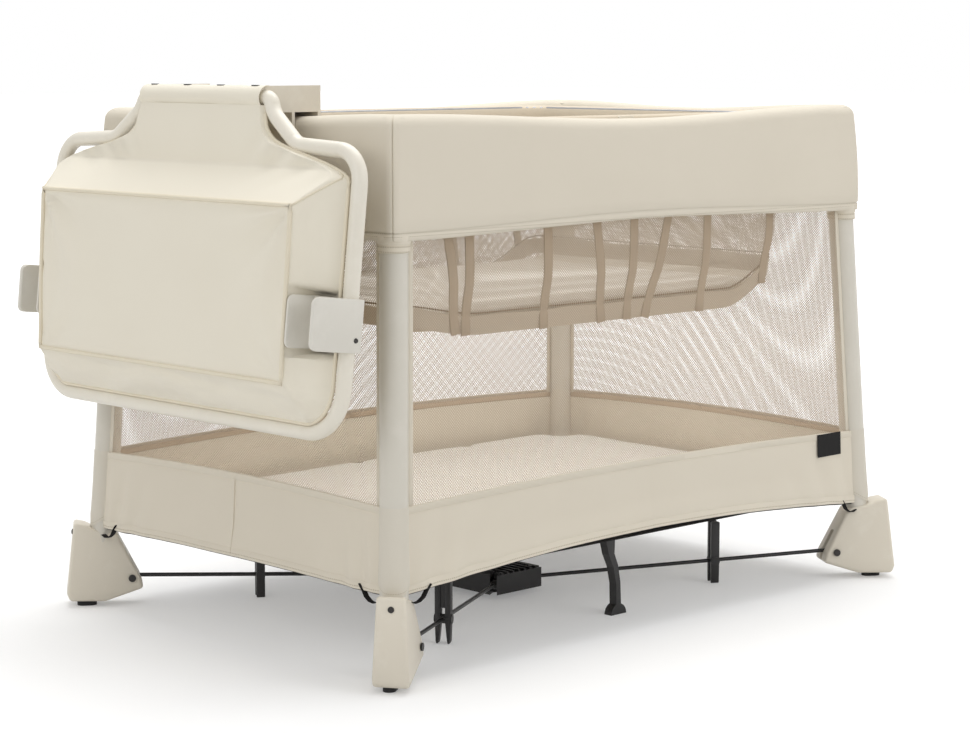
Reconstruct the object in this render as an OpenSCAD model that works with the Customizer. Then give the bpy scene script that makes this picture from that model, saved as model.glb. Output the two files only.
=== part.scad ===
// Folding playard with a hanging bassinet and a flip-away changing tray.
// Millimetres, +Z up. X runs along the long side, and the changing tray hangs on the -X end.
// The origin lies on the floor, in the middle of the whole outline.

/* [Playard frame] */
// Length over the padded top band
frame_len = 958; // [900:1:1120]
// Width over the padded top band
frame_wid = 637; // [600:1:740]
// Height of the top band above the floor
frame_h = 740; // [690:1:850]
// Outward run of each post, along X and along Y, from the top to the floor
post_run = 36; // [25:1:42]
// Outer diameter of the corner posts
post_d = 38; // [34:1:42]
// Wall of the post tubes
post_wall = 1.5; // [1:0.1:3]
// Outer diameter of the top rails
rail_d = 18; // [14:1:20]
// Sag of the long top rails at their middle joint
rail_dip = 12; // [8:1:16]
// Diameter of the floor rods
rod_d = 6; // [5:0.5:8]

/* [Fabric] */
// Height of the padded top band
band_h = 160; // [120:1:180]
// Thickness of the padded top band
band_t = 38; // [36:1:44]
// Thickness of one skin of the band
band_skin = 4; // [3:0.5:4]
// Height of the seam between the mesh and the lower skirt
skirt_top = 243; // [200:1:280]
// Height of the lower edge of the skirt
skirt_bottom = 121; // [118:1:126]
// Thickness of the lower skirt
skirt_t = 4; // [3:0.5:6]
// Thickness of the mesh walls
mesh_t = 2; // [1.5:0.1:3]
// Thickness of the floor mattress
mattress_t = 28; // [20:1:35]

/* [Feet and hub] */
// Thickness of each foot shell
foot_w = 50; // [46:1:58]
// Height of the foot glides
glide_h = 8; // [6:1:10]
// Diameter of the pivot pins
pin_d = 6; // [5:0.5:7]
// Height of the arm pivots in the feet
foot_pivot_z = 43; // [40:1:46]
// Height of the arm pivots in the hub
hub_pivot_z = 23; // [20:1:26]
// Gap from the centre line to each mid-rail pivot
mid_gap = 15; // [14:1:18]

/* [Bassinet] */
// Length of the bassinet tub
tub_len = 798; // [700:1:800]
// Height of the tub's underside above the floor
tub_bottom = 440; // [400:1:470]
// Thickness of the tub's walls
tub_wall = 3; // [2:0.5:4]
// Thickness of the bassinet pad
tub_pad_t = 24; // [18:1:30]

/* [Changing tray] */
// Diameter of the changing tray's tube
loop_d = 21; // [19:1:22]
// Length of the tube loop below its hinge
loop_len = 426; // [380:1:440]
// Outward tilt of the hanging loop, in degrees
hang_tilt = 6.3; // [4:0.1:8]
// Half width between the two neck legs of the loop
neck_half = 138; // [130:1:150]
// Depth of the tray below its tube
tray_depth = 55; // [45:1:60]

/* [Hidden] */
$fn = 48;
fit = 0.3;
pin_fit = 0.1;
facet = 0.01;

CORNERS = [
    ["front_left", -1, -1],
    ["front_right", 1, -1],
    ["rear_left", -1, 1],
    ["rear_right", 1, 1],
];
CORNER_PIECES = [
    "post", "foot", "foot_pin", "glide", "bracket", "wall",
    "long_rail", "short_rail", "floor_arm", "floor_leg",
];
SINGLE_PIECES = [
    "hub", "hub_handle", "mattress", "mid_leg_front", "mid_leg_rear",
    "bassinet_tub", "bassinet_rim", "bassinet_pad", "bassinet_bars", "bassinet_clips",
    "changer_hinge", "changer_loop", "changer_tray", "changer_saddle_front", "changer_saddle_rear",
];

cream = [0.80, 0.78, 0.72];
cloth = [0.84, 0.81, 0.75];
pale = [0.88, 0.86, 0.80];
black = [0.12, 0.11, 0.11];
steel = [0.62, 0.62, 0.64];

// posts: one axis per corner, leaning outwards towards the floor
post_r = post_d / 2;
post_inset = band_skin + 0.5 + post_r;
post_x = frame_len / 2 - post_inset;
post_y = frame_wid / 2 - post_inset;
lean = post_run / frame_h;
foot_x = post_x + post_run;
foot_y = post_y + post_run;
foot_turn = atan2(foot_y, foot_x);
foot_rho = norm([foot_x, foot_y]);

// top rails: pivots beside the posts and next to the centre line
pivot_reach = post_r + 12;
rail_z = frame_h - 25;
rail_a = post_x - pivot_reach - mid_gap;
rail_b = post_y - pivot_reach - mid_gap;
dip_angle = atan(rail_dip / rail_a);
tongue_w = 10;
ear_t = 3;

// floor arms: each spans the same plan distances as the two rails of its corner
arm_back = 46.7;
arm_x = (foot_rho - arm_back) * cos(foot_turn);
arm_y = (foot_rho - arm_back) * sin(foot_turn);
hub_x = arm_x - rail_a;
hub_y = arm_y - rail_b;
arm_span = norm([rail_a, rail_b]);
arm_slope = atan((foot_pivot_z - hub_pivot_z) / arm_span);
arm_len = arm_span / cos(arm_slope);
leg_at = 183;
leg_gap = 12;
leg_plate = 4;
leg_above = 62;

// floor level
sheet_t = 2;
sheet_z = skirt_bottom + 12;
mesh_inset = 14;
mattress_gap = 6;
mid_leg_x = 20;
mid_leg_y = 246;
mid_leg_w = 14;

// bassinet
tub_left = -(post_x - 25.5);
tub_half_w = frame_wid / 2 - band_t - 5;
tub_top = frame_h - 8;
tub_corner = 40;
rim_d = 8;
bar_d = 8;

// changing tray
hinge_x = -(frame_len / 2 + 51);
hinge_z = frame_h + 20;
loop_r = loop_d / 2;
side_half = frame_wid / 2 + 8.5;
tray_half = frame_wid / 2 - band_t - 26;
tray_from = 132;
tray_to = 362;
mouth_top = tray_from - 12;
mouth_low = tray_to + 30;
mouth_depth = 18;
flange_depth = 4;
flange_top = 104;
loop_bend = 62;
saddle_from = 250;
saddle_h = 68;
saddle_reach = 62;
saddle_plate = 3.5;
saddle_inner = tub_half_w + 0.7;
saddle_seat = hinge_z - frame_h - 0.7;
hinge_half = neck_half - loop_r - 1.5;
barrel_r = loop_r + 5;
hook_t = 5;
cheek_t = 10;
bend_lap = 0.8;
bend_thin = 0.3;

// outline of the whole object, for the origin
foot_tip = 48;
x_max = (foot_rho + foot_tip) * cos(foot_turn) + foot_w / 2 * sin(foot_turn);
saddle_low = saddle_from + saddle_h;
x_min = hinge_x - saddle_low * sin(hang_tilt) - saddle_reach * cos(hang_tilt);
origin_x = (x_max + x_min) / 2;

function rest_x(z) = post_x + lean * (frame_h - z);
function rest_y(z) = post_y + lean * (frame_h - z);

module placed() {
    translate([-origin_x, 0, 0]) children();
}

// ---- frame -------------------------------------------------------------

// a straight bar from p to q
module bar(p, q, d) {
    v = q - p;
    translate(p) rotate([0, acos(v[2] / norm(v)), atan2(v[1], v[0])]) cylinder(h = norm(v), d = d);
}

module post_body(c, d, z0, z1) {
    bar([c[1] * rest_x(z0), c[2] * rest_y(z0), z0], [c[1] * rest_x(z1), c[2] * rest_y(z1), z1], d);
}

module post(c) {
    color(cream) difference() {
        post_body(c, post_d, 26, frame_h - band_skin - 1);
        post_body(c, post_d - 2 * post_wall, 20, frame_h);
    }
}

// local frame of a foot: +X points outwards along the foot, origin under the post
module at_foot(c) {
    translate([c[1] * foot_x, c[2] * foot_y, 0])
        rotate([0, 0, atan2(c[2] * foot_y, c[1] * foot_x)]) children();
}

// local frame of an arm's pivot in its foot: +X points away from the hub
module at_pivot(c) {
    translate([c[1] * arm_x, c[2] * arm_y, foot_pivot_z])
        rotate([0, 0, atan2(c[2] * rail_b, c[1] * rail_a)]) children();
}

module foot(c) {
    profile = [
        [-28, 110], [-61, 42], [-66, 27], [-8, glide_h], [44, glide_h],
        [foot_tip, 20], [36, 127], [20, 123], [9, 115],
    ];
    slot_w = tongue_w + 2;
    color(cream) difference() {
        at_foot(c) rotate([90, 0, 0]) linear_extrude(foot_w, center = true) polygon(profile);
        post_body(c, post_d + 2 * fit, 26 - fit, 200);
        at_pivot(c) translate([-24, -slot_w / 2, -30]) cube([41, slot_w, 62]);
        at_pivot(c) rotate([90, 0, 0]) cylinder(h = foot_w + 8, d = pin_d + 2 * pin_fit, center = true);
    }
}

module foot_pin(c) {
    head_at = foot_w / 2 + 0.6;
    color(steel) at_pivot(c) rotate([90, 0, 0]) union() {
        cylinder(h = foot_w + 2, d = pin_d, center = true);
        translate([0, 0, head_at]) cylinder(h = 2.5, d = pin_d + 5);
        translate([0, 0, -head_at - 2.5]) cylinder(h = 2.5, d = pin_d + 5);
    }
}

// a long rubber pad with round ends
module glide(c) {
    color(black) at_foot(c) translate([19, 0, 0]) union() {
        translate([-6, -8.5, 0]) cube([12, 17, glide_h]);
        for (s = [-1, 1]) translate([6 * s, 0, 0]) cylinder(h = glide_h, r = 8.5);
    }
}

// ears for one rail: a clevis that points along +X, with its pivot at the origin
module ears(root) {
    inner = tongue_w + 1;
    for (s = [-1, 1]) difference() {
        union() {
            translate([0, s * (inner + ear_t) / 2, 0]) rotate([90, 0, 0])
                cylinder(h = ear_t, r = 8, center = true);
            translate([-root, s * (inner + ear_t) / 2 - ear_t / 2, -8]) cube([root, ear_t, 16]);
        }
    }
    rotate([90, 0, 0]) cylinder(h = inner + 2 * ear_t, d = pin_d, center = true);
}

module bracket(c) {
    top = [c[1] * rest_x(rail_z), c[2] * rest_y(rail_z), rail_z];
    color(black) difference() {
        union() {
            translate([top[0], top[1], top[2]]) scale([-c[1], 1, 1])
                translate([pivot_reach, 0, 0]) ears(pivot_reach);
            translate([top[0], top[1], top[2]]) rotate([0, 0, -c[2] * 90])
                translate([pivot_reach, 0, 0]) ears(pivot_reach);
        }
        post_body(c, post_d + 0.02, 500, frame_h + 50);
    }
}

// half a top rail along +X from its pivot at the origin, dipping towards the middle
module half_rail(span) {
    slope = dip_angle;
    len = span / cos(slope);
    rotate([0, slope, 0]) difference() {
        union() {
            translate([14, 0, 0]) rotate([0, 90, 0]) cylinder(h = len - 28, d = rail_d);
            for (x = [0, len]) translate([x, 0, 0]) rotate([90, 0, 0])
                cylinder(h = tongue_w, r = 8, center = true);
            for (x = [0, len - 16]) translate([x, -tongue_w / 2, -6]) cube([16, tongue_w, 12]);
        }
        for (x = [0, len]) translate([x, 0, 0]) rotate([90, 0, 0])
            cylinder(h = tongue_w + 2, d = pin_d + 2 * pin_fit, center = true);
    }
}

module long_rail(c) {
    color(steel) translate([c[1] * (rest_x(rail_z) - pivot_reach), c[2] * rest_y(rail_z), rail_z])
        rotate([0, 0, c[1] > 0 ? 180 : 0]) half_rail(rail_a);
}

module short_rail(c) {
    color(steel) translate([c[1] * rest_x(rail_z), c[2] * (rest_y(rail_z) - pivot_reach), rail_z])
        rotate([0, 0, -c[2] * 90]) half_rail(rail_b);
}

// ---- floor frame -------------------------------------------------------

// local frame of an arm: origin at its foot pivot, +X runs down towards the hub
module at_arm(c) {
    translate([c[1] * arm_x, c[2] * arm_y, foot_pivot_z])
        rotate([0, arm_slope, atan2(-c[2] * rail_b, -c[1] * rail_a)]) children();
}

module floor_arm(c) {
    color(black) at_arm(c) difference() {
        union() {
            translate([5, 0, 0]) rotate([0, 90, 0]) cylinder(h = arm_len - 10, d = rod_d);
            for (x = [0, arm_len]) translate([x, 0, 0]) rotate([90, 0, 0])
                cylinder(h = tongue_w, r = pin_d / 2 + 4, center = true);
        }
        for (x = [0, arm_len]) translate([x, 0, 0]) rotate([90, 0, 0])
            cylinder(h = tongue_w + 2, d = pin_d + 2 * pin_fit, center = true);
    }
}

// a forked leg that grips the rod, stands on the floor and reaches up under the mattress
module floor_leg(c) {
    low = foot_pivot_z - leg_at * sin(arm_slope);
    shoulder = leg_above - 6;
    plate = [[-8, -low], [8, -low], [8, shoulder], [5, leg_above], [-5, leg_above], [-8, shoulder]];
    color(black) at_arm(c) translate([leg_at, 0, 0]) rotate([0, -arm_slope, 0]) difference() {
        union() {
            for (s = [-1, 1]) translate([0, s * (leg_gap + leg_plate) / 2, 0]) rotate([90, 0, 0])
                linear_extrude(leg_plate, center = true) polygon(plate);
            translate([-9, -leg_gap / 2 - leg_plate, -low]) cube([18, leg_gap + 2 * leg_plate, 5]);
            for (z = [leg_above - 10, 24]) translate([0, 0, z]) rotate([90, 0, 0])
                cylinder(h = leg_gap + 2 * leg_plate + 3, d = 5, center = true);
            translate([-7, -leg_gap / 2, -8]) cube([42, leg_gap, 16]);
        }
        rotate([0, arm_slope, 0]) translate([-20, 0, 0]) rotate([0, 90, 0])
            cylinder(h = 70, d = rod_d + 0.1);
    }
}

module hub() {
    hub_half_x = hub_x + 9;
    hub_half_y = hub_y + 9;
    slot_w = tongue_w + 1;
    color(black) difference() {
        union() {
            translate([-hub_half_x, -hub_half_y, 8]) cube([2 * hub_half_x, 2 * hub_half_y, 30]);
            for (i = [-3:3]) translate([i * 12 - 1.5, -hub_half_y, 8]) cube([3, 2 * hub_half_y, 33]);
            cylinder(h = 8, r = 24);
            cylinder(h = 44, r = 22);
        }
        for (c = CORNERS) translate([c[1] * hub_x, c[2] * hub_y, hub_pivot_z])
            rotate([0, 0, atan2(c[2] * rail_b, c[1] * rail_a)])
            translate([-14, -slot_w / 2, -20]) cube([60, slot_w, 60]);
        translate([0, 0, 34]) cylinder(h = 20, r = 15 + fit);
    }
    color(steel) for (c = CORNERS) translate([c[1] * hub_x, c[2] * hub_y, hub_pivot_z])
        rotate([0, 0, atan2(c[2] * rail_b, c[1] * rail_a)]) rotate([90, 0, 0])
        cylinder(h = slot_w + 6, d = pin_d, center = true);
}

// release handle: a knob with a finger loop
module hub_handle() {
    color(black) union() {
        translate([0, 0, 34 + fit]) cylinder(h = 12, r = 15);
        translate([0, 0, 46]) rotate([90, 0, 0]) rotate_extrude(angle = 180)
            translate([16, 0]) circle(r = 4);
        translate([-20, -4, 44]) cube([40, 8, 3]);
    }
}

module mid_leg(side) {
    foot_z = 16;
    top_z = sheet_z - fit;
    color(black) translate([mid_leg_x, side * mid_leg_y, 0]) rotate([90, 0, 0])
        linear_extrude(mid_leg_w, center = true) union() {
            intersection() {
                circle(r = foot_z);
                translate([-foot_z, 0]) square([2 * foot_z, foot_z]);
            }
            polygon([
                [-5, 10], [5, 10], [3, 48], [-2, 74], [-10, 92], [-8, top_z], [-38, top_z],
                [-30, top_z - 12], [-22, 92], [-12, 72], [-6, 46],
            ]);
        }
}

// ---- fabric ------------------------------------------------------------

// the solid inside the leaning walls, set in by a distance, between two heights
module leaning(inset, z0, z1) {
    function half(size, z) = size / 2 - inset + lean * (frame_h - z);
    hull() for (z = [z0, z1 - facet])
        translate([-half(frame_len, z), -half(frame_wid, z), z])
            cube([2 * half(frame_len, z), 2 * half(frame_wid, z), facet]);
}

// one quarter of the fabric: padded band, mesh, skirt and floor sheet
module wall(c) {
    band_low = frame_h - band_h;
    big = 2 * frame_len;
    color(cloth) difference() {
        intersection() {
            union() {
                difference() {
                    leaning(0, band_low, frame_h);
                    leaning(band_t, band_low - 1, frame_h + 1);
                    difference() {
                        leaning(band_skin, band_low - 1, frame_h - band_skin);
                        leaning(band_t - band_skin, band_low - 2, frame_h);
                    }
                }
                difference() {
                    leaning(mesh_inset, skirt_bottom, band_low + facet);
                    leaning(mesh_inset + mesh_t, skirt_top, band_low + 1);
                    leaning(mesh_inset + skirt_t, sheet_z + sheet_t, skirt_top + facet);
                    leaning(mesh_inset + skirt_t, skirt_bottom - 1, sheet_z);
                }
                // ledge that joins the mesh to the band's outer skin
                difference() {
                    leaning(band_skin - 0.5, band_low, band_low + 3);
                    leaning(mesh_inset + mesh_t, band_low - 1, band_low + 4);
                }
            }
            translate([c[1] > 0 ? 0 : -big, c[2] > 0 ? 0 : -big, 0]) cube([big, big, big]);
        }
        post_body(c, post_d + 1, 60, frame_h - band_skin);
    }
}

module mattress() {
    half_x = rest_x(sheet_z) + post_inset - mesh_inset - skirt_t - mattress_gap;
    half_y = rest_y(sheet_z) + post_inset - mesh_inset - skirt_t - mattress_gap;
    low = sheet_z + sheet_t + fit;
    color(cloth) difference() {
        translate([-half_x, -half_y, low]) cube([2 * half_x, 2 * half_y, mattress_t]);
        for (c = CORNERS) post_body(c, post_d + 8, 60, 300);
    }
}

// ---- bassinet ----------------------------------------------------------

module tub_outline(inset) {
    r = tub_corner - inset;
    for (sx = [0, 1]) for (sy = [-1, 1])
        translate([tub_left + inset + r + sx * (tub_len - 2 * tub_corner), sy * (tub_half_w - tub_corner)])
            circle(r = r);
    translate([tub_left + inset, -(tub_half_w - tub_corner)])
        square([tub_len - 2 * inset, 2 * (tub_half_w - tub_corner)]);
    translate([tub_left + tub_corner, -(tub_half_w - inset)])
        square([tub_len - 2 * tub_corner, 2 * (tub_half_w - inset)]);
}

module bassinet_tub() {
    color(pale) difference() {
        translate([0, 0, tub_bottom]) linear_extrude(tub_top - tub_bottom) tub_outline(0);
        translate([0, 0, tub_bottom + tub_wall]) linear_extrude(frame_h) tub_outline(tub_wall);
    }
}

// wire rim sewn into the tub's upper hem
module bassinet_rim() {
    inset = tub_wall + rim_d / 2 + fit;
    bend = tub_corner - inset;
    z = tub_top - 6;
    left = tub_left + inset;
    right = tub_left + tub_len - inset;
    side = tub_half_w - inset;
    color(steel) union() {
        for (s = [-1, 1]) bar([left + bend, s * side, z], [right - bend, s * side, z], rim_d);
        for (x = [left, right]) bar([x, bend - side, z], [x, side - bend, z], rim_d);
        for (k = [[right - bend, side - bend, 0], [left + bend, side - bend, 90],
                  [left + bend, bend - side, 180], [right - bend, bend - side, 270]])
            translate([k[0], k[1], z]) rotate([0, 0, k[2]])
                rotate_extrude(angle = 90) translate([bend, 0]) circle(d = rim_d);
    }
}

module bassinet_pad() {
    color(pale) translate([0, 0, tub_bottom + tub_wall + fit])
        linear_extrude(tub_pad_t) tub_outline(tub_wall + 4);
}

module bassinet_bars() {
    color(black) for (i = [0:3]) {
        x = tub_left + tub_len * (i + 0.5) / 4;
        z = tub_bottom - bar_d / 2;
        bar([x, -tub_half_w + 12, z], [x, tub_half_w - 12, z], bar_d);
    }
}

// toggles that hold the tub's hem against the inner face of the band
module bassinet_clips() {
    reach = frame_wid / 2 - band_t - tub_half_w - fit;
    color(black) for (x = [-300, 0, 240]) for (s = [-1, 1])
        translate([x - 15, s > 0 ? tub_half_w : -tub_half_w - reach, frame_h - 40]) cube([30, reach, 30]);
}

// ---- changing tray -----------------------------------------------------

// local frame of the tray: origin on the hinge axis, -Z down the loop, -X outwards
module hanging() {
    translate([hinge_x, 0, hinge_z]) rotate([0, hang_tilt, 0]) children();
}

// a closed round tube along points in the YZ plane, each with its own bend radius
module bent_loop(pts, d) {
    n = len(pts);
    function at(i) = [pts[(i + n) % n][0], pts[(i + n) % n][1]];
    function dir(i) = (at(i + 1) - at(i)) / norm(at(i + 1) - at(i));
    function turn(i) = acos(max(-1, min(1, dir(i - 1) * dir(i))));
    function bend(i) = pts[(i + n) % n][2];
    function cut(i) = bend(i) * tan(turn(i) / 2);
    for (i = [0:n - 1]) {
        a = at(i) + dir(i) * (cut(i) - bend_lap);
        b = at(i + 1) - dir(i) * (cut(i + 1) - bend_lap);
        bar([0, a[0], a[1]], [0, b[0], b[1]], d);
        side = dir(i) - dir(i - 1);
        centre = at(i) + side / norm(side) * bend(i) / cos(turn(i) / 2);
        from = atan2(-side[1], -side[0]) - turn(i) / 2;
        translate([0, centre[0], centre[1]]) rotate([90, 0, 90]) rotate([0, 0, from])
            rotate_extrude(angle = turn(i)) translate([bend(i), 0]) circle(d = d - bend_thin);
    }
}

module changer_loop() {
    half = [
        [neck_half, 0, 14], [neck_half + 8, -20, 40], [neck_half + 62, -60, 40],
        [side_half, -66, 42], [side_half, -loop_len, loop_bend],
    ];
    mirrored = [for (i = [len(half) - 1:-1:0]) [-half[i][0], half[i][1], half[i][2]]];
    color(cream) hanging() bent_loop(concat(half, mirrored), loop_d);
}

// the tray's shape, from its mouth down to its panel, set in by a distance
module tray_body(inset) {
    mouth = tray_half + 4 - inset;
    panel = tray_half - inset;
    hull() {
        translate([-tray_depth + inset, -panel, -tray_to + inset])
            cube([facet, 2 * panel, tray_to - tray_from - 2 * inset]);
        translate([-mouth_depth, -mouth, -mouth_low + inset])
            cube([facet, 2 * mouth, mouth_low - mouth_top - 2 * inset]);
    }
}

// a band around the tray's mouth, from its shape up to the flange
module tray_mouth(inset, low, high) {
    mouth = tray_half + 4 - inset;
    translate([-low, -mouth, -mouth_low + inset])
        cube([low - high, 2 * mouth, mouth_low - mouth_top - 2 * inset]);
}

module changer_tray() {
    skin = 3;
    half = side_half - loop_r + fit;
    flange_low = loop_len - loop_r + fit;
    corner_r = loop_bend - loop_r + fit;
    saddle_in = saddle_inner - fit;
    color(pale) hanging() difference() {
        union() {
            tray_body(0);
            tray_mouth(0, mouth_depth, flange_depth);
            translate([-flange_depth - skin, -half, corner_r - flange_low])
                cube([skin, 2 * half, flange_low - flange_top - corner_r]);
            translate([-flange_depth - skin, corner_r - half, -flange_low])
                cube([skin, 2 * (half - corner_r), corner_r]);
            for (s = [-1, 1])
                translate([-flange_depth - skin, s * (half - corner_r), corner_r - flange_low])
                    rotate([0, 90, 0]) cylinder(h = skin, r = corner_r);
        }
        tray_body(skin);
        tray_mouth(skin, mouth_depth + 1, 0);
        for (s = [-1, 1])
            translate([-mouth_depth, s > 0 ? saddle_in : -saddle_in - side_half, -saddle_low - fit])
                cube([mouth_depth, side_half, saddle_h + 2 * fit]);
    }
}

// a channel that drops over the padded band when the tray lies across the top
module changer_saddle(side) {
    outer = side_half + loop_r + 5;
    tongue = frame_wid / 2 + 4;
    color(cream) hanging() translate([0, 0, -saddle_low]) scale([1, side, 1]) difference() {
        union() {
            translate([-saddle_seat, saddle_inner, 0])
                cube([saddle_seat - 1, outer - saddle_inner, saddle_h]);
            translate([-saddle_reach, saddle_inner, 0]) cube([saddle_reach - 1, saddle_plate, saddle_h]);
            translate([-saddle_reach, tongue, 0]) cube([saddle_reach + 6, outer - tongue, saddle_h]);
        }
        translate([0, side_half, -1]) cylinder(h = saddle_h + 2, d = loop_d + 0.02);
    }
}

// outline of the hinge cover in XZ: the barrel, a plate over the band and hooks on both its faces
module hinge_outline(plate_top) {
    inner_face = -(frame_len / 2 - band_t);
    base = frame_h + fit;
    translate([hinge_x, hinge_z]) circle(r = barrel_r);
    translate([hinge_x, base]) square([inner_face + hook_t - hinge_x, plate_top - base]);
    translate([inner_face + fit, frame_h - 36]) square([hook_t - fit, 40]);
    translate([-frame_len / 2 - hook_t - 1.5, frame_h - 22]) square([hook_t, 24]);
}

// cover over the end rail: the barrel that the loop turns in, with a high cheek at each end
module changer_hinge() {
    color(cream) difference() {
        translate([0, -hinge_half, 0]) rotate([-90, 0, 0]) mirror([0, 1, 0]) union() {
            linear_extrude(2 * hinge_half) hinge_outline(frame_h + 8);
            for (y = [0, 2 * hinge_half - cheek_t]) translate([0, 0, y])
                linear_extrude(cheek_t) hinge_outline(hinge_z + barrel_r);
        }
        translate([hinge_x, -hinge_half - 1, hinge_z]) rotate([-90, 0, 0])
            cylinder(h = 2 * hinge_half + 2, r = loop_r + 0.2);
    }
}

// ---- assembly ----------------------------------------------------------

for (c = CORNERS) placed() {
    post(c);
    foot(c);
    foot_pin(c);
    glide(c);
    bracket(c);
    wall(c);
    long_rail(c);
    short_rail(c);
    floor_arm(c);
    floor_leg(c);
}
placed() hub();
placed() hub_handle();
placed() mattress();
placed() mid_leg(-1);  // mid_leg_front
placed() mid_leg(1);  // mid_leg_rear
placed() bassinet_tub();
placed() bassinet_rim();
placed() bassinet_pad();
placed() bassinet_bars();
placed() bassinet_clips();
placed() changer_hinge();
placed() changer_loop();
placed() changer_tray();
placed() changer_saddle(-1);  // changer_saddle_front
placed() changer_saddle(1);  // changer_saddle_rear
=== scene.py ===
"""A folding playard with a hung bassinet and a changing tray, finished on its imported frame. Metres, +Z up."""

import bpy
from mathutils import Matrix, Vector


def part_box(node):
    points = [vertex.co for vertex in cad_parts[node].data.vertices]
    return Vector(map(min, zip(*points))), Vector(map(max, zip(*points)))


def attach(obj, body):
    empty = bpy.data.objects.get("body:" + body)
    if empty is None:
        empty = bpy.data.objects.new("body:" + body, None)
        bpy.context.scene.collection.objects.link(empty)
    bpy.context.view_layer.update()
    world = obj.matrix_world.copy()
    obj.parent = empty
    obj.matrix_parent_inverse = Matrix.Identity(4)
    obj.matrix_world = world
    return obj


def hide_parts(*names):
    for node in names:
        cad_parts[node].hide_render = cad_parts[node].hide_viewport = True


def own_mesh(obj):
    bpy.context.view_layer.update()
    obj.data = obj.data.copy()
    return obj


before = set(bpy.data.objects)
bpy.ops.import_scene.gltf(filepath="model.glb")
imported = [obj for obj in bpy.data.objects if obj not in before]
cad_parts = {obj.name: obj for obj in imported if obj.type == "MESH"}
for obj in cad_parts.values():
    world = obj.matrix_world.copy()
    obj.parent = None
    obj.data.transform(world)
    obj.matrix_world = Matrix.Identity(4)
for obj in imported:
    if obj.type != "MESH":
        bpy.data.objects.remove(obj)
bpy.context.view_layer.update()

import math

import bmesh
import bpy
from mathutils import Euler, Matrix, Vector, noise

scene = bpy.context.scene

# ---- places, from the frame ----------------------------------------------------------------------

CORNERS = {"front_left": (-1, -1), "front_right": (1, -1), "rear_left": (-1, 1), "rear_right": (1, 1)}
POST_R = 0.019
BAND_T = 0.038
BAND_LOW = 0.580
SKIRT_TOP = 0.243
SKIRT_LOW = 0.121
FABRIC_INSET = 0.014
POST_INSET = 0.0235

left_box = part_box("post_front_left")
right_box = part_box("post_front_right")
MID_X = (left_box[0].x + right_box[1].x) / 2
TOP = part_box("wall_front_left")[1].z
POST_X = MID_X - (left_box[1].x - POST_R)
POST_Y = -(left_box[1].y - POST_R)
LEAN = (MID_X - left_box[0].x - POST_R - POST_X) / (TOP - 0.005 - left_box[0].z)


def half_sizes(z, inset):
    """Half length and half width of the fabric box at height z, set in by a distance."""
    out = POST_INSET - inset + LEAN * (TOP - z)
    return POST_X + out, POST_Y + out


def smooth(share):
    share = max(0.0, min(1.0, share))
    return share * share * (3 - 2 * share)


def mix(a, b, share):
    return a + (b - a) * share


def wave(place, scale, seed=0.0):
    """Soft noise between -1 and 1, the same each run."""
    x, y, z = (part * scale for part in place)
    return noise.noise(Vector((x + seed, y - seed, z + 0.37 * seed)))


# ---- making pieces ---------------------------------------------------------------------------------

def finish_piece(bm, name, material, body, shade_smooth=True):
    mesh = bpy.data.meshes.new(name)
    bm.to_mesh(mesh)
    bm.free()
    for face in mesh.polygons:
        face.use_smooth = shade_smooth
    mesh.materials.append(material)
    piece = bpy.data.objects.new(name, mesh)
    scene.collection.objects.link(piece)
    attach(piece, body)
    return piece


def surface(columns, rows, place, size):
    """A bmesh grid with its UV map in metres, laid by place(u, v, column, row)."""
    bm = bmesh.new()
    uv = bm.loops.layers.uv.new("UVMap")
    bmesh.ops.create_grid(bm, x_segments=columns, y_segments=rows, size=0.5)
    for face in bm.faces:
        for loop in face.loops:
            at = loop.vert.co
            loop[uv].uv = ((at.x + 0.5) * size[0], (at.y + 0.5) * size[1])
    for vert in bm.verts:
        u, v = vert.co.x + 0.5, vert.co.y + 0.5
        vert.co = place(u, v, round(u * columns), round(v * rows))
    return bm


def close_tube(bm):
    """Joins a rolled grid along its edge and caps its two ends."""
    bmesh.ops.remove_doubles(bm, verts=bm.verts[:], dist=0.00001)
    ends = [edge for edge in bm.edges if edge.is_boundary]
    bmesh.ops.holes_fill(bm, edges=ends, sides=0)
    for edge in ends:
        edge.smooth = False
    bmesh.ops.recalc_face_normals(bm, faces=bm.faces[:])


def thicken(piece, thickness, offset=-1.0):
    shell = piece.modifiers.new("thickness", "SOLIDIFY")
    shell.thickness = thickness
    shell.offset = offset
    shell.use_even_offset = True


def apply_modifiers(piece):
    bpy.context.view_layer.update()
    graph = bpy.context.evaluated_depsgraph_get()
    mesh = bpy.data.meshes.new_from_object(piece.evaluated_get(graph))
    piece.modifiers.clear()
    piece.data = mesh


def make_shell(piece, thickness, offset=-1.0):
    """Gives a sheet its thickness, with crisp cut edges."""
    thicken(piece, thickness, offset)
    apply_modifiers(piece)
    piece.data.set_sharp_from_angle(angle=math.radians(55))


def tube_path(bm, points, radius, sides=8, closed=False, flat=1.0, up=None):
    """A round or flat tube along points, made of one swept ring."""
    points = [Vector(p) for p in points]
    count = len(points)
    rings = []
    for i, here in enumerate(points):
        before = points[i - 1] if (i or closed) else here
        after = points[(i + 1) % count] if (i < count - 1 or closed) else here
        along = (after - before).normalized()
        side = (up if up else Vector((0, 0, 1))).cross(along)
        if side.length < 0.01:
            side = Vector((1, 0, 0)).cross(along)
        side.normalize()
        rise = along.cross(side)
        ring = []
        for k in range(sides):
            turn = 2 * math.pi * k / sides
            around_path = side * (radius * math.cos(turn)) + rise * (flat * radius * math.sin(turn))
            ring.append(bm.verts.new(here + around_path))
        rings.append(ring)
    for i in range(count if closed else count - 1):
        one, two = rings[i], rings[(i + 1) % count]
        for k in range(sides):
            bm.faces.new((one[k], one[(k + 1) % sides], two[(k + 1) % sides], two[k]))
    if not closed:
        bm.faces.new(rings[0])
        bm.faces.new(rings[-1])


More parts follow.
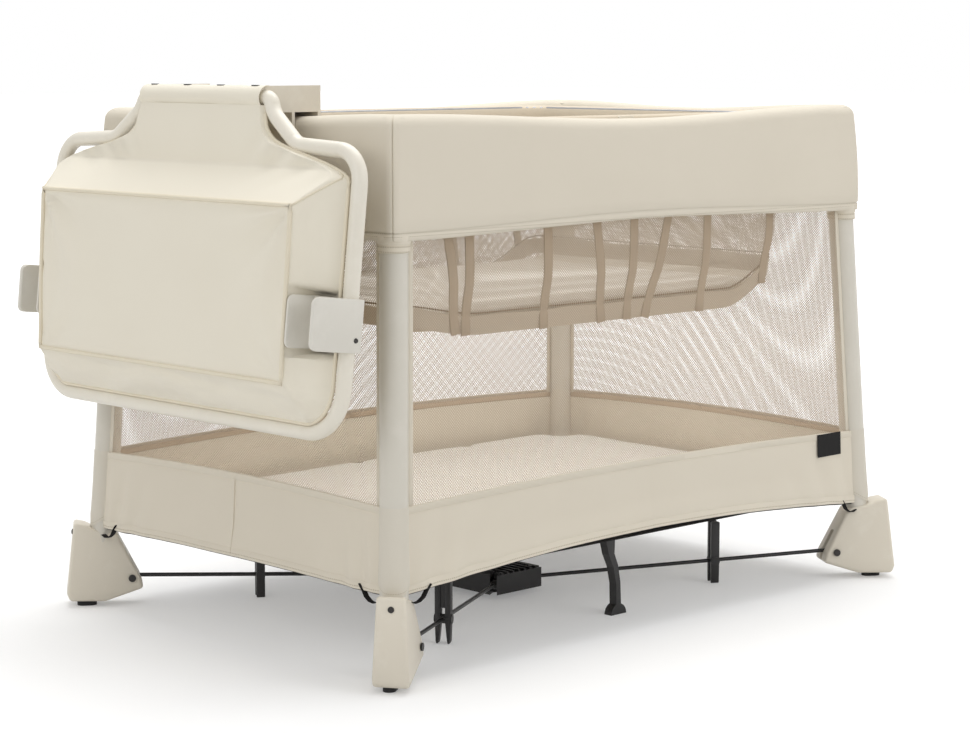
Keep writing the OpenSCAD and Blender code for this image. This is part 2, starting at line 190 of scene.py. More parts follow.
def piping(name, points, radius, material, body, closed=False, flat=1.0, up=None, sides=8):
    bm = bmesh.new()
    tube_path(bm, points, radius, sides, closed, flat, up)
    bmesh.ops.recalc_face_normals(bm, faces=bm.faces[:])
    return finish_piece(bm, name, material, body)


SHARP_TURN = 0.5


def sharp_edges(bm):
    """The edges whose faces turn by more than half a radian."""
    return [e for e in bm.edges if e.calc_face_angle(0) > SHARP_TURN]


def round_edges(bm, edges, width, segments):
    bmesh.ops.bevel(bm, geom=edges, offset=width, offset_type="OFFSET", segments=segments, profile=0.5,
                    affect="EDGES", clamp_overlap=True, material=-1)


def add_shape(bm, shape):
    """Adds one bmesh's faces to another, and frees it."""
    spare = bpy.data.meshes.new("spare")
    shape.to_mesh(spare)
    shape.free()
    bm.from_mesh(spare)
    bpy.data.meshes.remove(spare)


def plate(outline, low, high, rounding, segments=3):
    """An outline in XY, extruded from low to high along Z, with every edge rounded."""
    bm = bmesh.new()
    face = bm.faces.new([bm.verts.new((x, y, low)) for x, y in outline])
    grown = bmesh.ops.extrude_face_region(bm, geom=[face])
    bmesh.ops.translate(bm, verts=[g for g in grown["geom"] if isinstance(g, bmesh.types.BMVert)],
                        vec=(0, 0, high - low))
    bmesh.ops.recalc_face_normals(bm, faces=bm.faces[:])
    if rounding:
        round_edges(bm, sharp_edges(bm), rounding, segments)
    return bm


def block(size, rounding, segments=3):
    bm = bmesh.new()
    bmesh.ops.create_cube(bm, size=1)
    bmesh.ops.scale(bm, vec=size, verts=bm.verts[:])
    round_edges(bm, bm.edges[:], rounding, segments)
    return bm


def swell(piece, voxel, pressure, cap, frames=20):
    """Fills a padded piece: cloth under pressure, with each point held within cap of where it began."""
    remesh = piece.modifiers.new("voxels", "REMESH")
    remesh.mode = "VOXEL"
    remesh.voxel_size = voxel
    apply_modifiers(piece)
    start = [v.co.copy() for v in piece.data.vertices]
    cloth = piece.modifiers.new("fill", "CLOTH")
    cloth.settings.use_pressure = True
    cloth.settings.uniform_pressure_force = pressure
    cloth.settings.effector_weights.gravity = 0
    cloth.point_cache.frame_start = 1
    cloth.point_cache.frame_end = frames
    for step in range(1, frames + 1):
        scene.frame_set(step)
    apply_modifiers(piece)
    for vert, was in zip(piece.data.vertices, start):
        moved = vert.co - was
        if moved.length > cap:
            vert.co = was + moved * (cap / moved.length)
    scene.frame_set(1)
    for face in piece.data.polygons:
        face.use_smooth = True
    finer = piece.modifiers.new("finer", "SUBSURF")
    finer.levels = finer.render_levels = 1


# ---- finishes --------------------------------------------------------------------------------------

def srgb(red, green, blue):
    return tuple((c / 255 / 12.92) if c / 255 < 0.04045 else ((c / 255 + 0.055) / 1.055) ** 2.4
                 for c in (red, green, blue)) + (1.0,)


class Nodes:
    """Short calls for wiring one node tree."""

    def __init__(self, tree):
        self.tree = tree

    def add(self, kind, **settings):
        node = self.tree.nodes.new(kind)
        for key, value in settings.items():
            setattr(node, key, value)
        return node

    def wire(self, source, target):
        self.tree.links.new(source, target)

    def math(self, operation, a, b=None, clamp=False):
        node = self.add("ShaderNodeMath", operation=operation, use_clamp=clamp)
        for socket, value in zip(node.inputs, (a, b)):
            if value is None:
                continue
            if isinstance(value, (int, float)):
                socket.default_value = value
            else:
                self.wire(value, socket)
        return node.outputs[0]

    def blend(self, factor, one, two):
        node = self.add("ShaderNodeMix", data_type="RGBA")
        for socket, value in zip((node.inputs[0], node.inputs[6], node.inputs[7]), (factor, one, two)):
            if isinstance(value, (int, float, tuple)):
                socket.default_value = value
            else:
                self.wire(value, socket)
        return node.outputs[2]

    def noise(self, vector, scale, detail=3.0, roughness=0.5):
        node = self.add("ShaderNodeTexNoise")
        self.wire(vector, node.inputs["Vector"])
        if isinstance(scale, (int, float)):
            node.inputs["Scale"].default_value = scale
        else:
            self.wire(scale, node.inputs["Scale"])
        node.inputs["Detail"].default_value = detail
        node.inputs["Roughness"].default_value = roughness
        return node.outputs["Fac"]


def new_group(name, inputs, outputs):
    tree = bpy.data.node_groups.new(name, "ShaderNodeTree")
    for label, kind, default in inputs:
        socket = tree.interface.new_socket(label, in_out="INPUT", socket_type=kind)
        if default is not None:
            socket.default_value = default
    for label, kind in outputs:
        tree.interface.new_socket(label, in_out="OUTPUT", socket_type=kind)
    nodes = Nodes(tree)
    return tree, nodes, nodes.add("NodeGroupInput").outputs, nodes.add("NodeGroupOutput").inputs


def weave_group():
    """Plain weave: threads that go over and under each other, with slight unevenness."""
    inputs = [("Vector", "NodeSocketVector", None), ("Pitch", "NodeSocketFloat", 0.0005)]
    tree, n, inp, out = new_group("plain_weave", inputs,
                                  [("Height", "NodeSocketFloat"), ("Thread", "NodeSocketFloat")])
    parts = n.add("ShaderNodeSeparateXYZ")
    n.wire(inp["Vector"], parts.inputs[0])
    threads = [n.math("DIVIDE", parts.outputs[k], inp["Pitch"]) for k in (0, 1)]
    half_turn = [n.math("MULTIPLY", thread, math.pi) for thread in threads]
    crossed = n.math("MULTIPLY", n.math("SINE", half_turn[0]), n.math("SINE", half_turn[1]))
    n.wire(n.math("MULTIPLY_ADD", crossed, 0.5), out["Height"])
    uneven = n.noise(inp["Vector"], 900.0, 2.0)
    n.wire(n.math("MULTIPLY", n.math("ABSOLUTE", crossed), uneven, clamp=True), out["Thread"])
    return tree


def cloud_group():
    """Broad soft variation, for uneven dye, handling and faint creases."""
    inputs = [("Vector", "NodeSocketVector", None), ("Scale", "NodeSocketFloat", 9.0)]
    tree, n, inp, out = new_group("soft_clouds", inputs,
                                  [("Cloud", "NodeSocketFloat"), ("Crease", "NodeSocketFloat")])
    broad = n.noise(inp["Vector"], inp["Scale"], 4.0, 0.55)
    n.wire(broad, out["Cloud"])
    finer = n.noise(inp["Vector"], n.math("MULTIPLY", inp["Scale"], 3.1), 3.0, 0.5)
    ridge = n.math("ABSOLUTE", n.math("SUBTRACT", finer, 0.5))
    n.wire(n.math("SUBTRACT", 1.0, n.math("MULTIPLY", ridge, 9.0, clamp=True)), out["Crease"])
    return tree


def stitch_group():
    """One row of stitches along U, at height Row of V."""
    tree, n, inp, out = new_group(
        "stitch_row", [("Vector", "NodeSocketVector", None), ("Row", "NodeSocketFloat", 0.01),
                       ("Pitch", "NodeSocketFloat", 0.0032), ("Width", "NodeSocketFloat", 0.0004)],
        [("Mask", "NodeSocketFloat")])
    parts = n.add("ShaderNodeSeparateXYZ")
    n.wire(inp["Vector"], parts.inputs[0])
    away = n.math("ABSOLUTE", n.math("SUBTRACT", parts.outputs[1], inp["Row"]))
    near = n.math("LESS_THAN", away, inp["Width"])
    dash = n.math("LESS_THAN", n.math("FRACT", n.math("DIVIDE", parts.outputs[0], inp["Pitch"])), 0.68)
    n.wire(n.math("MULTIPLY", near, dash), out["Mask"])
    return tree


def net_group():
    """Knitted diamond net: 1 on the threads and 0 in the holes."""
    tree, n, inp, out = new_group(
        "diamond_net", [("Vector", "NodeSocketVector", None), ("Pitch", "NodeSocketFloat", 0.003),
                        ("Hole", "NodeSocketFloat", 0.6)], [("Thread", "NodeSocketFloat")])
    parts = n.add("ShaderNodeSeparateXYZ")
    n.wire(inp["Vector"], parts.inputs[0])
    across, up = parts.outputs[0], parts.outputs[1]
    ways = (n.math("ADD", across, up), n.math("SUBTRACT", across, up))
    threads = []
    for way in ways:
        cell = n.math("FRACT", n.math("DIVIDE", n.math("MULTIPLY", way, math.sqrt(0.5)), inp["Pitch"]))
        off = n.math("MULTIPLY", n.math("ABSOLUTE", n.math("SUBTRACT", cell, 0.5)), 2.0)
        threads.append(n.math("GREATER_THAN", off, inp["Hole"]))
    n.wire(n.math("MAXIMUM", threads[0], threads[1]), out["Thread"])
    return tree


def grain_group():
    """Fine moulded grain with a trace of rubbing."""
    inputs = [("Vector", "NodeSocketVector", None), ("Scale", "NodeSocketFloat", 1400.0)]
    tree, n, inp, out = new_group("moulded_grain", inputs,
                                  [("Grain", "NodeSocketFloat"), ("Rub", "NodeSocketFloat")])
    n.wire(n.noise(inp["Vector"], inp["Scale"], 2.0, 0.6), out["Grain"])
    rub = n.noise(inp["Vector"], 26.0, 5.0, 0.65)
    n.wire(n.math("MULTIPLY", n.math("SUBTRACT", rub, 0.52), 5.0, clamp=True), out["Rub"])
    return tree


WEAVE, CLOUDS, STITCH, NET, GRAIN = weave_group(), cloud_group(), stitch_group(), net_group(), grain_group()


def start_material(name):
    material = bpy.data.materials.new(name)
    material.use_nodes = True
    tree = material.node_tree
    tree.nodes.clear()
    n = Nodes(tree)
    shader = n.add("ShaderNodeBsdfPrincipled")
    n.wire(shader.outputs[0], n.add("ShaderNodeOutputMaterial").inputs[0])
    return material, n, shader


def place_group(n, group, vector, **values):
    node = n.add("ShaderNodeGroup", node_tree=group)
    n.wire(vector, node.inputs["Vector"])
    for label, value in values.items():
        node.inputs[label].default_value = value
    return node.outputs


def bump(n, shader, height, strength, distance):
    node = n.add("ShaderNodeBump")
    node.inputs["Strength"].default_value = strength
    node.inputs["Distance"].default_value = distance
    n.wire(height, node.inputs["Height"])
    n.wire(node.outputs[0], shader.inputs["Normal"])


def cloth_finish(name, colour, shade, pitch=0.0005, rows=(), thread=None, sheen=0.12, rough=0.82, crease=0.25,
                 on="UV"):
    """Woven cloth on coordinates in metres, with rows of stitching at the given V heights."""
    material, n, shader = start_material(name)
    coords = n.add("ShaderNodeTexCoord").outputs
    weave = place_group(n, WEAVE, coords[on], Pitch=pitch)
    clouds = place_group(n, CLOUDS, coords["Object"], Scale=7.0)
    lit, threads = n.math("MULTIPLY", clouds["Cloud"], 0.34), n.math("MULTIPLY", weave["Thread"], 0.5)
    tone = n.math("ADD", lit, threads, clamp=True)
    base = n.blend(tone, colour, shade)
    woven, creased = n.math("MULTIPLY", weave["Height"], 0.35), n.math("MULTIPLY", clouds["Crease"], crease)
    height = n.math("ADD", woven, creased)
    for row in rows:
        mask = place_group(n, STITCH, coords["UV"], Row=row)["Mask"]
        base = n.blend(mask, base, thread or shade)
        height = n.math("ADD", height, n.math("MULTIPLY", mask, 1.4))
    n.wire(base, shader.inputs["Base Color"])
    n.wire(n.math("ADD", n.math("MULTIPLY", weave["Height"], 0.08), rough - 0.04), shader.inputs["Roughness"])
    bump(n, shader, height, 0.35, 0.0004)
    shader.inputs["Sheen Weight"].default_value = sheen
    shader.inputs["Sheen Roughness"].default_value = 0.5
    shader.inputs["Specular IOR Level"].default_value = 0.25
    return material


def net_finish(name, colour, shade, pitch=0.003, hole=0.6):
    """Open knitted net, cut out with Alpha on the piece's UV map in metres."""
    material, n, shader = start_material(name)
    coords = n.add("ShaderNodeTexCoord").outputs
    net = place_group(n, NET, coords["UV"], Pitch=pitch, Hole=hole)
    clouds = place_group(n, CLOUDS, coords["Object"], Scale=5.0)
    n.wire(n.blend(clouds["Cloud"], colour, shade), shader.inputs["Base Color"])
    n.wire(net["Thread"], shader.inputs["Alpha"])
    twist = n.noise(coords["UV"], 2600.0, 1.0)
    n.wire(n.math("ADD", n.math("MULTIPLY", twist, 0.2), 0.65), shader.inputs["Roughness"])
    bump(n, shader, twist, 0.3, 0.0002)
    shader.inputs["Specular IOR Level"].default_value = 0.2
    return material


def moulded_finish(name, colour, worn, rough=0.45, grain=0.12, scale=1400.0, rub_level=0.5, coat=0.0,
                   metallic=0.0):
    """Moulded plastic or powder coat: fine grain, with lighter or duller rubbed places."""
    material, n, shader = start_material(name)
    coords = n.add("ShaderNodeTexCoord").outputs
    grains = place_group(n, GRAIN, coords["Object"], Scale=scale)
    rub = n.math("MULTIPLY", grains["Rub"], rub_level)
    n.wire(n.blend(rub, colour, worn), shader.inputs["Base Color"])
    n.wire(n.math("ADD", n.math("MULTIPLY", grains["Rub"], 0.12), rough), shader.inputs["Roughness"])
    bump(n, shader, grains["Grain"], grain, 0.0003)
    shader.inputs["Coat Weight"].default_value = coat
    shader.inputs["Metallic"].default_value = metallic
    return material


def webbing_finish(name, colour, shade, pitch=0.0016):
    """Ribbed binding tape or webbing."""
    material, n, shader = start_material(name)
    coords = n.add("ShaderNodeTexCoord").outputs
    weave = place_group(n, WEAVE, coords["Object"], Pitch=pitch)
    clouds = place_group(n, CLOUDS, coords["Object"], Scale=18.0)
    # Colour is darker in the weave's low places: painted shade in its hollows, with random tone from the clouds
    # on top.
    woven, lit = n.math("MULTIPLY", weave["Height"], 0.5), n.math("MULTIPLY", clouds["Cloud"], 0.3)
    tone = n.math("ADD", woven, lit, clamp=True)
    n.wire(n.blend(tone, shade, colour), shader.inputs["Base Color"])
    n.wire(n.math("ADD", n.math("MULTIPLY", clouds["Cloud"], 0.1), 0.75), shader.inputs["Roughness"])
    bump(n, shader, weave["Height"], 0.4, 0.0005)
    shader.inputs["Specular IOR Level"].default_value = 0.25
    return material


CREAM = srgb(222, 214, 198)
STITCHES = srgb(190, 180, 160)
band_cloth = cloth_finish("band_cloth", CREAM, srgb(208, 199, 182), rows=(0.0062, 0.0105),
                          thread=STITCHES)
skirt_cloth = cloth_finish("skirt_cloth", CREAM, srgb(209, 200, 183), rows=(0.0045, 0.0075, 0.118),
                           thread=STITCHES)
sling_cloth = cloth_finish("sling_cloth", srgb(233, 227, 211), srgb(222, 213, 195), pitch=0.0006, sheen=0.2,
                           rough=0.7, crease=0.35)
lining_cloth = cloth_finish("lining_cloth", srgb(226, 219, 204), srgb(214, 206, 190), pitch=0.0005)
mattress_cloth = cloth_finish("mattress_cloth", srgb(228, 225, 219), srgb(219, 215, 207), pitch=0.0008,
                              on="Object")
pad_cloth = cloth_finish("pad_cloth", srgb(240, 236, 227), srgb(230, 224, 212), sheen=0.25, on="Object")
net_walls = net_finish("net_walls", srgb(200, 182, 162), srgb(186, 168, 148), hole=0.87)
net_tub = net_finish("net_tub", srgb(228, 219, 204), srgb(216, 205, 188), hole=0.84)
cream_tape = webbing_finish("cream_tape", srgb(214, 202, 182), srgb(196, 182, 160))
edge_tape = webbing_finish("edge_tape", srgb(226, 219, 204), srgb(208, 199, 182))
tan_tape = webbing_finish("tan_tape", srgb(200, 182, 160), srgb(168, 146, 122))
sleeve_cloth = cloth_finish("sleeve_cloth", srgb(214, 208, 195), srgb(206, 199, 184), rows=(0.0045,),
                            thread=srgb(188, 179, 160))
strap_tape = webbing_finish("strap_tape", srgb(206, 190, 166), srgb(188, 170, 146))
black_tape = webbing_finish("black_tape", srgb(34, 32, 32), srgb(18, 17, 17))
cream_moulded = moulded_finish("cream_moulded", srgb(218, 210, 194), srgb(228, 222, 208), rough=0.42)
post_coat = moulded_finish("post_coat", srgb(208, 203, 191), srgb(216, 211, 200), rough=0.36, grain=0.05,
                           scale=900.0)
loop_coat = moulded_finish("loop_coat", srgb(226, 220, 206), srgb(233, 228, 216), rough=0.34, grain=0.05,
                           scale=900.0)
black_moulded = moulded_finish("black_moulded", srgb(30, 28, 28), srgb(48, 46, 45), rough=0.4, grain=0.2,
                               scale=1100.0)
black_coat = moulded_finish("black_coat", srgb(26, 25, 25), srgb(44, 42, 41), rough=0.32, grain=0.06,
                            scale=800.0)
rubber = moulded_finish("rubber", srgb(24, 23, 23), srgb(38, 36, 35), rough=0.7, grain=0.3, scale=700.0)
bare_steel = moulded_finish("bare_steel", srgb(150, 150, 152), srgb(176, 176, 178), rough=0.3, grain=0.05,
                            metallic=1.0)
dark_screw = moulded_finish("dark_screw", srgb(58, 56, 55), srgb(84, 82, 80), rough=0.35, grain=0.05,
                            metallic=0.8)

# ---- fabric walls ------------------------------------------------------------------------------------

LONG, SHORT = "long", "short"
COLUMNS = 56
ARC_COLUMNS = 10


def around(corner, side, column, inset, z, columns=COLUMNS):
    """A point on the leaning fabric box: column 0 is at the side's middle, the last on the corner's seam."""
    sx, sy = corner
    hx, hy = half_sizes(z, inset)
    if side == SHORT:
        hx, hy = hy, hx
    radius = max(0.0135 - inset * 0.25, 0.004)
    straight = columns - ARC_COLUMNS
    if column <= straight:
        share = column / straight
        along, out, turn = (hx - radius) * share, hy, 0.0
    else:
        turn = (column - straight) / ARC_COLUMNS * math.pi / 4
        along = hx - radius + radius * math.sin(turn)
        out = hy - radius + radius * math.cos(turn)
    if side == SHORT:
        along, out = out, along
    return Vector((MID_X + sx * along, sy * out, z))


def from_middle(column, columns=COLUMNS):
    """0 at the middle of a side, 1 where its corner begins."""
    return min(1.0, column / (columns - ARC_COLUMNS))


def gather(piece):
    """Gives a wall piece its own copy of its mesh."""
    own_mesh(piece)


def band_section(top, low):
    """The padded band's section as (inset, z): up outside from the hem, over the rail and down inside."""
    roll, hem, rise = 0.016, 0.011, 8
    points = [(0.005, low), (0.0016, low + 0.0006), (0.0010, low + hem - 0.001), (0.0024, low + hem),
              (0.0004, low + hem + 0.0022)]
    start = low + hem + 0.0022
    for i in range(1, rise):
        share = i / rise
        points.append((-0.0016 * math.sin(math.pi * share), mix(start, top - roll, share)))
    for i in range(7):
        turn = math.pi / 2 * i / 6
        points.append((roll * (1 - math.cos(turn)), top - roll + roll * math.sin(turn)))
    for i in range(7):
        turn = math.pi / 2 * (1 - i / 6)
        points.append((BAND_T - roll * (1 - math.cos(turn)), top - roll + roll * math.sin(turn)))
    for i in range(1, rise):
        share = i / rise
        points.append((BAND_T + 0.0016 * math.sin(math.pi * share), mix(top - roll, low + 0.004, share)))
    points += [(BAND_T - 0.001, low + 0.003), (BAND_T - 0.004, low), (0.005, low)]
    return points


BAND_ROWS = len(band_section(1, 0)) - 1


def make_band(name, side):
    corner = CORNERS[name]
    dip, lift = (0.013, 0.009) if side == LONG else (0.009, 0.004)
    length = half_sizes(TOP, 0)[0 if side == LONG else 1]

    def place(u, v, column, row):
        share = from_middle(column)
        sag = smooth(1 - share)
        top = TOP - dip * sag
        low = BAND_LOW - 0.002 + lift * sag
        inset, z = band_section(top, low)[row]
        if column == COLUMNS and inset < 0.03:
            inset += 0.0016
        at = around(corner, side, column, inset, z)
        ripple = 0.0007 * wave(at, 16, 3.0) + 0.0004 * wave(at, 45, 8.0)
        return around(corner, side, column, inset + ripple * smooth((1 - share) * 30), z)

    bm = surface(COLUMNS, BAND_ROWS, place, (length, 0.34))
    uv = bm.loops.layers.uv.active
    for face in bm.faces:
        for loop in face.loops:
            loop[uv].uv.y = loop.vert.co.z - (BAND_LOW - 0.002) if loop[uv].uv.y < 0.17 else 0.3
    close_tube(bm)
    piece = finish_piece(bm, f"band_{side}_{name}", band_cloth, "post_" + name)
    gather(piece)
    return piece


def make_net(name, side):
    """Open net between the band and the skirt, from the side's middle to the post."""
    corner = CORNERS[name]
    columns, rows = 30, 24
    top, low = BAND_LOW + 0.012, SKIRT_TOP - 0.014
    reach = POST_X if side == LONG else POST_Y

    def place(u, v, column, row):
        z = mix(low, top, v)
        hx, hy = half_sizes(z, FABRIC_INSET + 0.0016 + 0.003 * math.sin(math.pi * v) * (1 - u * u))
        to_post = (hx if side == LONG else hy) - (POST_INSET - FABRIC_INSET) - 0.0165
        along, out = to_post * u, hy if side == LONG else hx
        if side == SHORT:
            along, out = out, along
        return Vector((MID_X + corner[0] * along, corner[1] * out, z))

    bm = surface(columns, rows, place, (reach, top - low))
    piece = finish_piece(bm, f"net_{side}_{name}", net_walls, "post_" + name)
    make_shell(piece, 0.0005, 0.0)
    gather(piece)

    points = [place(0.992, v / 12, 0, 0) for v in range(13)]
    tape = piping(f"net_tape_{side}_{name}", points, 0.0045, edge_tape, "post_" + name,
                  flat=0.3, up=Vector((1, 0, 0)) if side == SHORT else Vector((0, 1, 0)))
    gather(tape)


SKIRT_ROWS = [(0.0, 0.0012), (0.0008, -0.0004), (0.010, -0.0004), (0.0112, 0.0008), (0.0125, 0.0004)]


def make_skirt(name, side):
    """The lower skirt between two posts: its seam bows up, and its lower hem rises in the middle."""
    corner = CORNERS[name]
    arch, bow = (0.024, 0.010) if side == LONG else (0.005, 0.007)
    reach = POST_X if side == LONG else POST_Y
    columns, rows = 48, 22

    def section(row, low, top):
        if row < 4:
            up, out = SKIRT_ROWS[row]
            return low + up, out
        if row > rows - 4:
            down, out = SKIRT_ROWS[rows - row]
            return top - down * 0.8, out
        return mix(low + 0.0125, top - 0.010, (row - 4) / (rows - 8)), 0.0004

    def place(u, v, column, row):
        sag = 1 - u * u
        top = SKIRT_TOP - 0.010 + bow * sag
        low = SKIRT_LOW - 0.001 + arch * sag
        z, out = section(row, low, top)
        height = (z - low) / (top - low)
        near_post = smooth((u - 0.45) / 0.5)
        ripple = math.sin(26 * u * u + 3.0 * height + corner[0])
        fold = 0.0042 * ripple * near_post * (1 - height) * smooth((1 - u) * 18)
        layer = 1.0 if side == LONG else 4.0
        fold += 0.0030 * wave((u * 4, height * 0.8, layer), 1.0, corner[0] * 2.0 + corner[1])
        flare = 0.0045 * smooth(1 - height * 2.2) * smooth((1 - u) * 9)
        inset = FABRIC_INSET + out + fold * smooth(height * 6 + 0.4) * smooth((1 - height) * 7) - flare
        hx, hy = half_sizes(z, inset)
        out_by = hy if side == LONG else hx
        post_at = reach + LEAN * (TOP - z) - 0.0158
        along = post_at * u
        if side == SHORT:
            along, out_by = out_by, along
        return Vector((MID_X + corner[0] * along, corner[1] * out_by, z))

    bm = surface(columns, rows, place, (reach, 0.122))
    piece = finish_piece(bm, f"skirt_{side}_{name}", skirt_cloth, "post_" + name)
    make_shell(piece, 0.0018, 0.0)
    gather(piece)

    inward = Vector((0, -corner[1], 0)) if side == LONG else Vector((-corner[0], 0, 0))
    edge = [place(k / 24, 0, 0, 1) + inward * 0.006 + Vector((0, 0, -0.0015)) for k in range(25)]
    strip = piping(f"under_binding_{side}_{name}", edge, 0.003, black_tape, "post_" + name,
                   flat=0.8)
    gather(strip)
    seam = [place(k / 24, 1, 0, rows - 2) + inward * 0.0022 for k in range(25)]
    tape = piping(f"seam_tape_{side}_{name}", seam, 0.0006, tan_tape, "post_" + name,
                  flat=7.0)
    gather(tape)


def post_centre(name, z):
    sx, sy = CORNERS[name]
    out = LEAN * (TOP - z)
    return Vector((MID_X + sx * (POST_X + out), sy * (POST_Y + out), z))


def make_post_sleeve(name):
    """The skirt's cloth sewn round the post, a little crumpled where it ends over the foot."""
    low, high, rows = SKIRT_LOW - 0.001, SKIRT_TOP - 0.008, 22
    outward = Vector((CORNERS[name][0], CORNERS[name][1], 0)).normalized()

    def place(u, v, column, row):
        turn = 2 * math.pi * (column % 40) / 40
        way = Vector((math.cos(turn), math.sin(turn), 0))
        facing = way.dot(outward)
        z = mix(low + 0.011 * (1 - facing) * smooth(1 - facing * 0.6), high, v)
        crumple = 0.0011 * wave((way.x * 1.4, way.y * 1.4, z * 70), 1.6, 3.0) * smooth(1 - v * 2.6)
        radius = mix(0.0204, 0.01935, smooth(v * 1.4)) + crumple
        if row < 2:
            radius -= 0.0004 * (2 - row)
        return post_centre(name, z) + way * radius

    bm = surface(40, rows, place, (0.124, high - low))
    bmesh.ops.remove_doubles(bm, verts=bm.verts[:], dist=0.00001)
    piece = finish_piece(bm, "post_sleeve_" + name, sleeve_cloth, "post_" + name)
    make_shell(piece, 0.0006, -1.0)


def make_painted_shadow_wedges(name):
    """Short black strips beside the foot, under the skirt's hem: painted shadow in the gaps where the post
    enters its foot.
    """
    sx, sy = CORNERS[name]
    post = post_centre(name, SKIRT_LOW)
    for way in (Vector((-sx, 0, 0)), Vector((0, -sy, 0))):
        skin = Vector((0, sy * 0.0125, 0)) if way.x else Vector((sx * 0.0125, 0, 0))
        # Black tape laid where there is only shadow beside the post at the foot's top: painted shadow.
        points = [post + skin + way * along + Vector((0, 0, up)) for along, up in
                  ((0.052, 0.008), (0.046, 0.001), (0.040, -0.008), (0.032, -0.013), (0.024, -0.014),
                   (0.017, -0.011))]
        side = LONG if way.x else SHORT
        piping(f"painted_shadow_wedge_{side}_{name}", points, 0.0045, black_tape, "post_" + name,
               flat=0.16, up=Vector((0, 0, 1)))


def make_collar(name):
    """The cuff that closes the band's lower edge round the post, with its stitching."""
    section = [(0.0193, 0.000), (0.0206, 0.0006), (0.0206, 0.009), (0.0200, 0.0100), (0.0214, 0.0112),
               (0.0222, 0.020),
               (0.0193, 0.024)]

    def place(u, v, column, row):
        radius, up = section[min(row, len(section) - 1)]
        turn = 2 * math.pi * u
        centre = post_centre(name, BAND_LOW - 0.016 + up)
        return centre + Vector((radius * math.cos(turn), radius * math.sin(turn), 0))

    bm = surface(32, len(section) - 1, place, (0.129, 0.025))
    bmesh.ops.remove_doubles(bm, verts=bm.verts[:], dist=0.00001)
    piece = finish_piece(bm, "post_cuff_" + name, skirt_cloth, "post_" + name)
    make_shell(piece, 0.0008, 1.0)


for corner_name in CORNERS:
    bands = [make_band(corner_name, side) for side in (LONG, SHORT)]
    for side in (LONG, SHORT):
        make_net(corner_name, side)
        make_skirt(corner_name, side)
    make_collar(corner_name)
    make_post_sleeve(corner_name)
    make_painted_shadow_wedges(corner_name)
    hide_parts("wall_" + corner_name)

# ---- floor mattress ----------------------------------------------------------------------------------

def press_seams(piece, seams, middle, depth):
    """Sinks stitched seams across X into the top of a filled piece."""
    for vert in piece.data.vertices:
        if vert.co.z > middle:
            vert.co.z -= depth * sum(math.exp(-((vert.co.x - seam) / 0.008) ** 2) for seam in seams)


def padded_sheet(name, lo, hi, columns, rows, crown, material, body, edge_roll, notch=0.0):
    """A soft slab between two corners, crowned and with rolled edges."""
    centre = (lo + hi) / 2
    size = hi - lo

    def lid(u, v, top):
        x, y = u * 2 - 1, v * 2 - 1
        ex, ey = (1 - abs(x)) * size.x / 2, (1 - abs(y)) * size.y / 2
        roll = math.sqrt(max(0.0, min(1.0, ex / edge_roll) * (2 - min(1.0, ex / edge_roll))))
        roll *= math.sqrt(max(0.0, min(1.0, ey / edge_roll) * (2 - min(1.0, ey / edge_roll))))
        z = size.z / 2 * roll
        px = centre.x + x * size.x / 2
        if top:
            z += crown * (wave((px, y * size.y / 2, 0.0), 7, 2.0) * 0.6) * roll
        py = centre.y + y * size.y / 2
        if notch:
            short = notch * smooth(1 - ex / 0.075) * smooth(1 - ey / 0.075)
            px -= math.copysign(short, x)
            py -= math.copysign(short, y)
        return Vector((px, py, centre.z + (z if top else -z)))

    bm = surface(columns, rows, lambda u, v, c, r: lid(u, v, True), (size.x, size.y))
    under = surface(columns, rows, lambda u, v, c, r: lid(u, v, False), (size.x, size.y))
    add_shape(bm, under)
    bmesh.ops.remove_doubles(bm, verts=bm.verts[:], dist=0.00002)
    bmesh.ops.recalc_face_normals(bm, faces=bm.faces[:])
    piece = finish_piece(bm, name, material, body)
    return piece


lo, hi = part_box("mattress")
quarter = (hi.x - lo.x) / 4
mattress = padded_sheet("mattress_cover", lo, hi - Vector((0, 0, 0.002)), 96, 64, 0.002, mattress_cloth,
                        "accessories", 0.012, notch=0.046)
swell(mattress, 0.007, 4.0, 0.003)
press_seams(mattress, [lo.x + quarter * k for k in (1, 2, 3)], (lo.z + hi.z) / 2, 0.006)
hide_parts("mattress")
base = plate([(lo.x + 0.035, lo.y), (hi.x - 0.035, lo.y), (hi.x - 0.035, hi.y), (lo.x + 0.035, hi.y)],
             lo.z - 0.0023, lo.z - 0.0003, 0.0006, 2)
long_edges = [e for e in base.edges if e.calc_length() > 0.1]
bmesh.ops.subdivide_edges(base, edges=long_edges, cuts=6, use_grid_fill=True)
finish_piece(base, "mattress_underside", black_tape, "accessories")

# ---- bassinet ----------------------------------------------------------------------------------------

tub_lo, tub_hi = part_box("bassinet_tub")
TUB_CORNER = 0.04
TUB_COLUMNS = 160


def tub_outline(u, inset):
    """A point round the tub, from the front's left end, with the way out of the wall there."""
    half_x, half_y = (tub_hi.x - tub_lo.x) / 2, (tub_hi.y - tub_lo.y) / 2
    centre_x = (tub_lo.x + tub_hi.x) / 2
    straight_x, straight_y = 2 * (half_x - TUB_CORNER), 2 * (half_y - TUB_CORNER)
    bend = TUB_CORNER * math.pi / 2
    radius = TUB_CORNER - inset
    s = (u % 1.0) * 2 * (straight_x + straight_y + 2 * bend)
    legs = [(-1, -1, 0.0, straight_x), (1, -1, 90.0, straight_y), (1, 1, 180.0, straight_x),
            (-1, 1, 270.0, straight_y)]
    for cx, cy, heading, length in legs:
        turn = math.radians(heading)
        along = Vector((math.cos(turn), math.sin(turn), 0))
        out = Vector((math.sin(turn), -math.cos(turn), 0))
        corner = Vector((centre_x + cx * (half_x - TUB_CORNER), cy * (half_y - TUB_CORNER), 0))
        if s <= length:
            return corner + along * s + out * radius, out
        s -= length
        if s <= bend:
            lean = s / TUB_CORNER
            away = out * math.cos(lean) + along * math.sin(lean)
            return corner + along * length + away * radius, away
        s -= bend
    return tub_outline(0.0, inset)


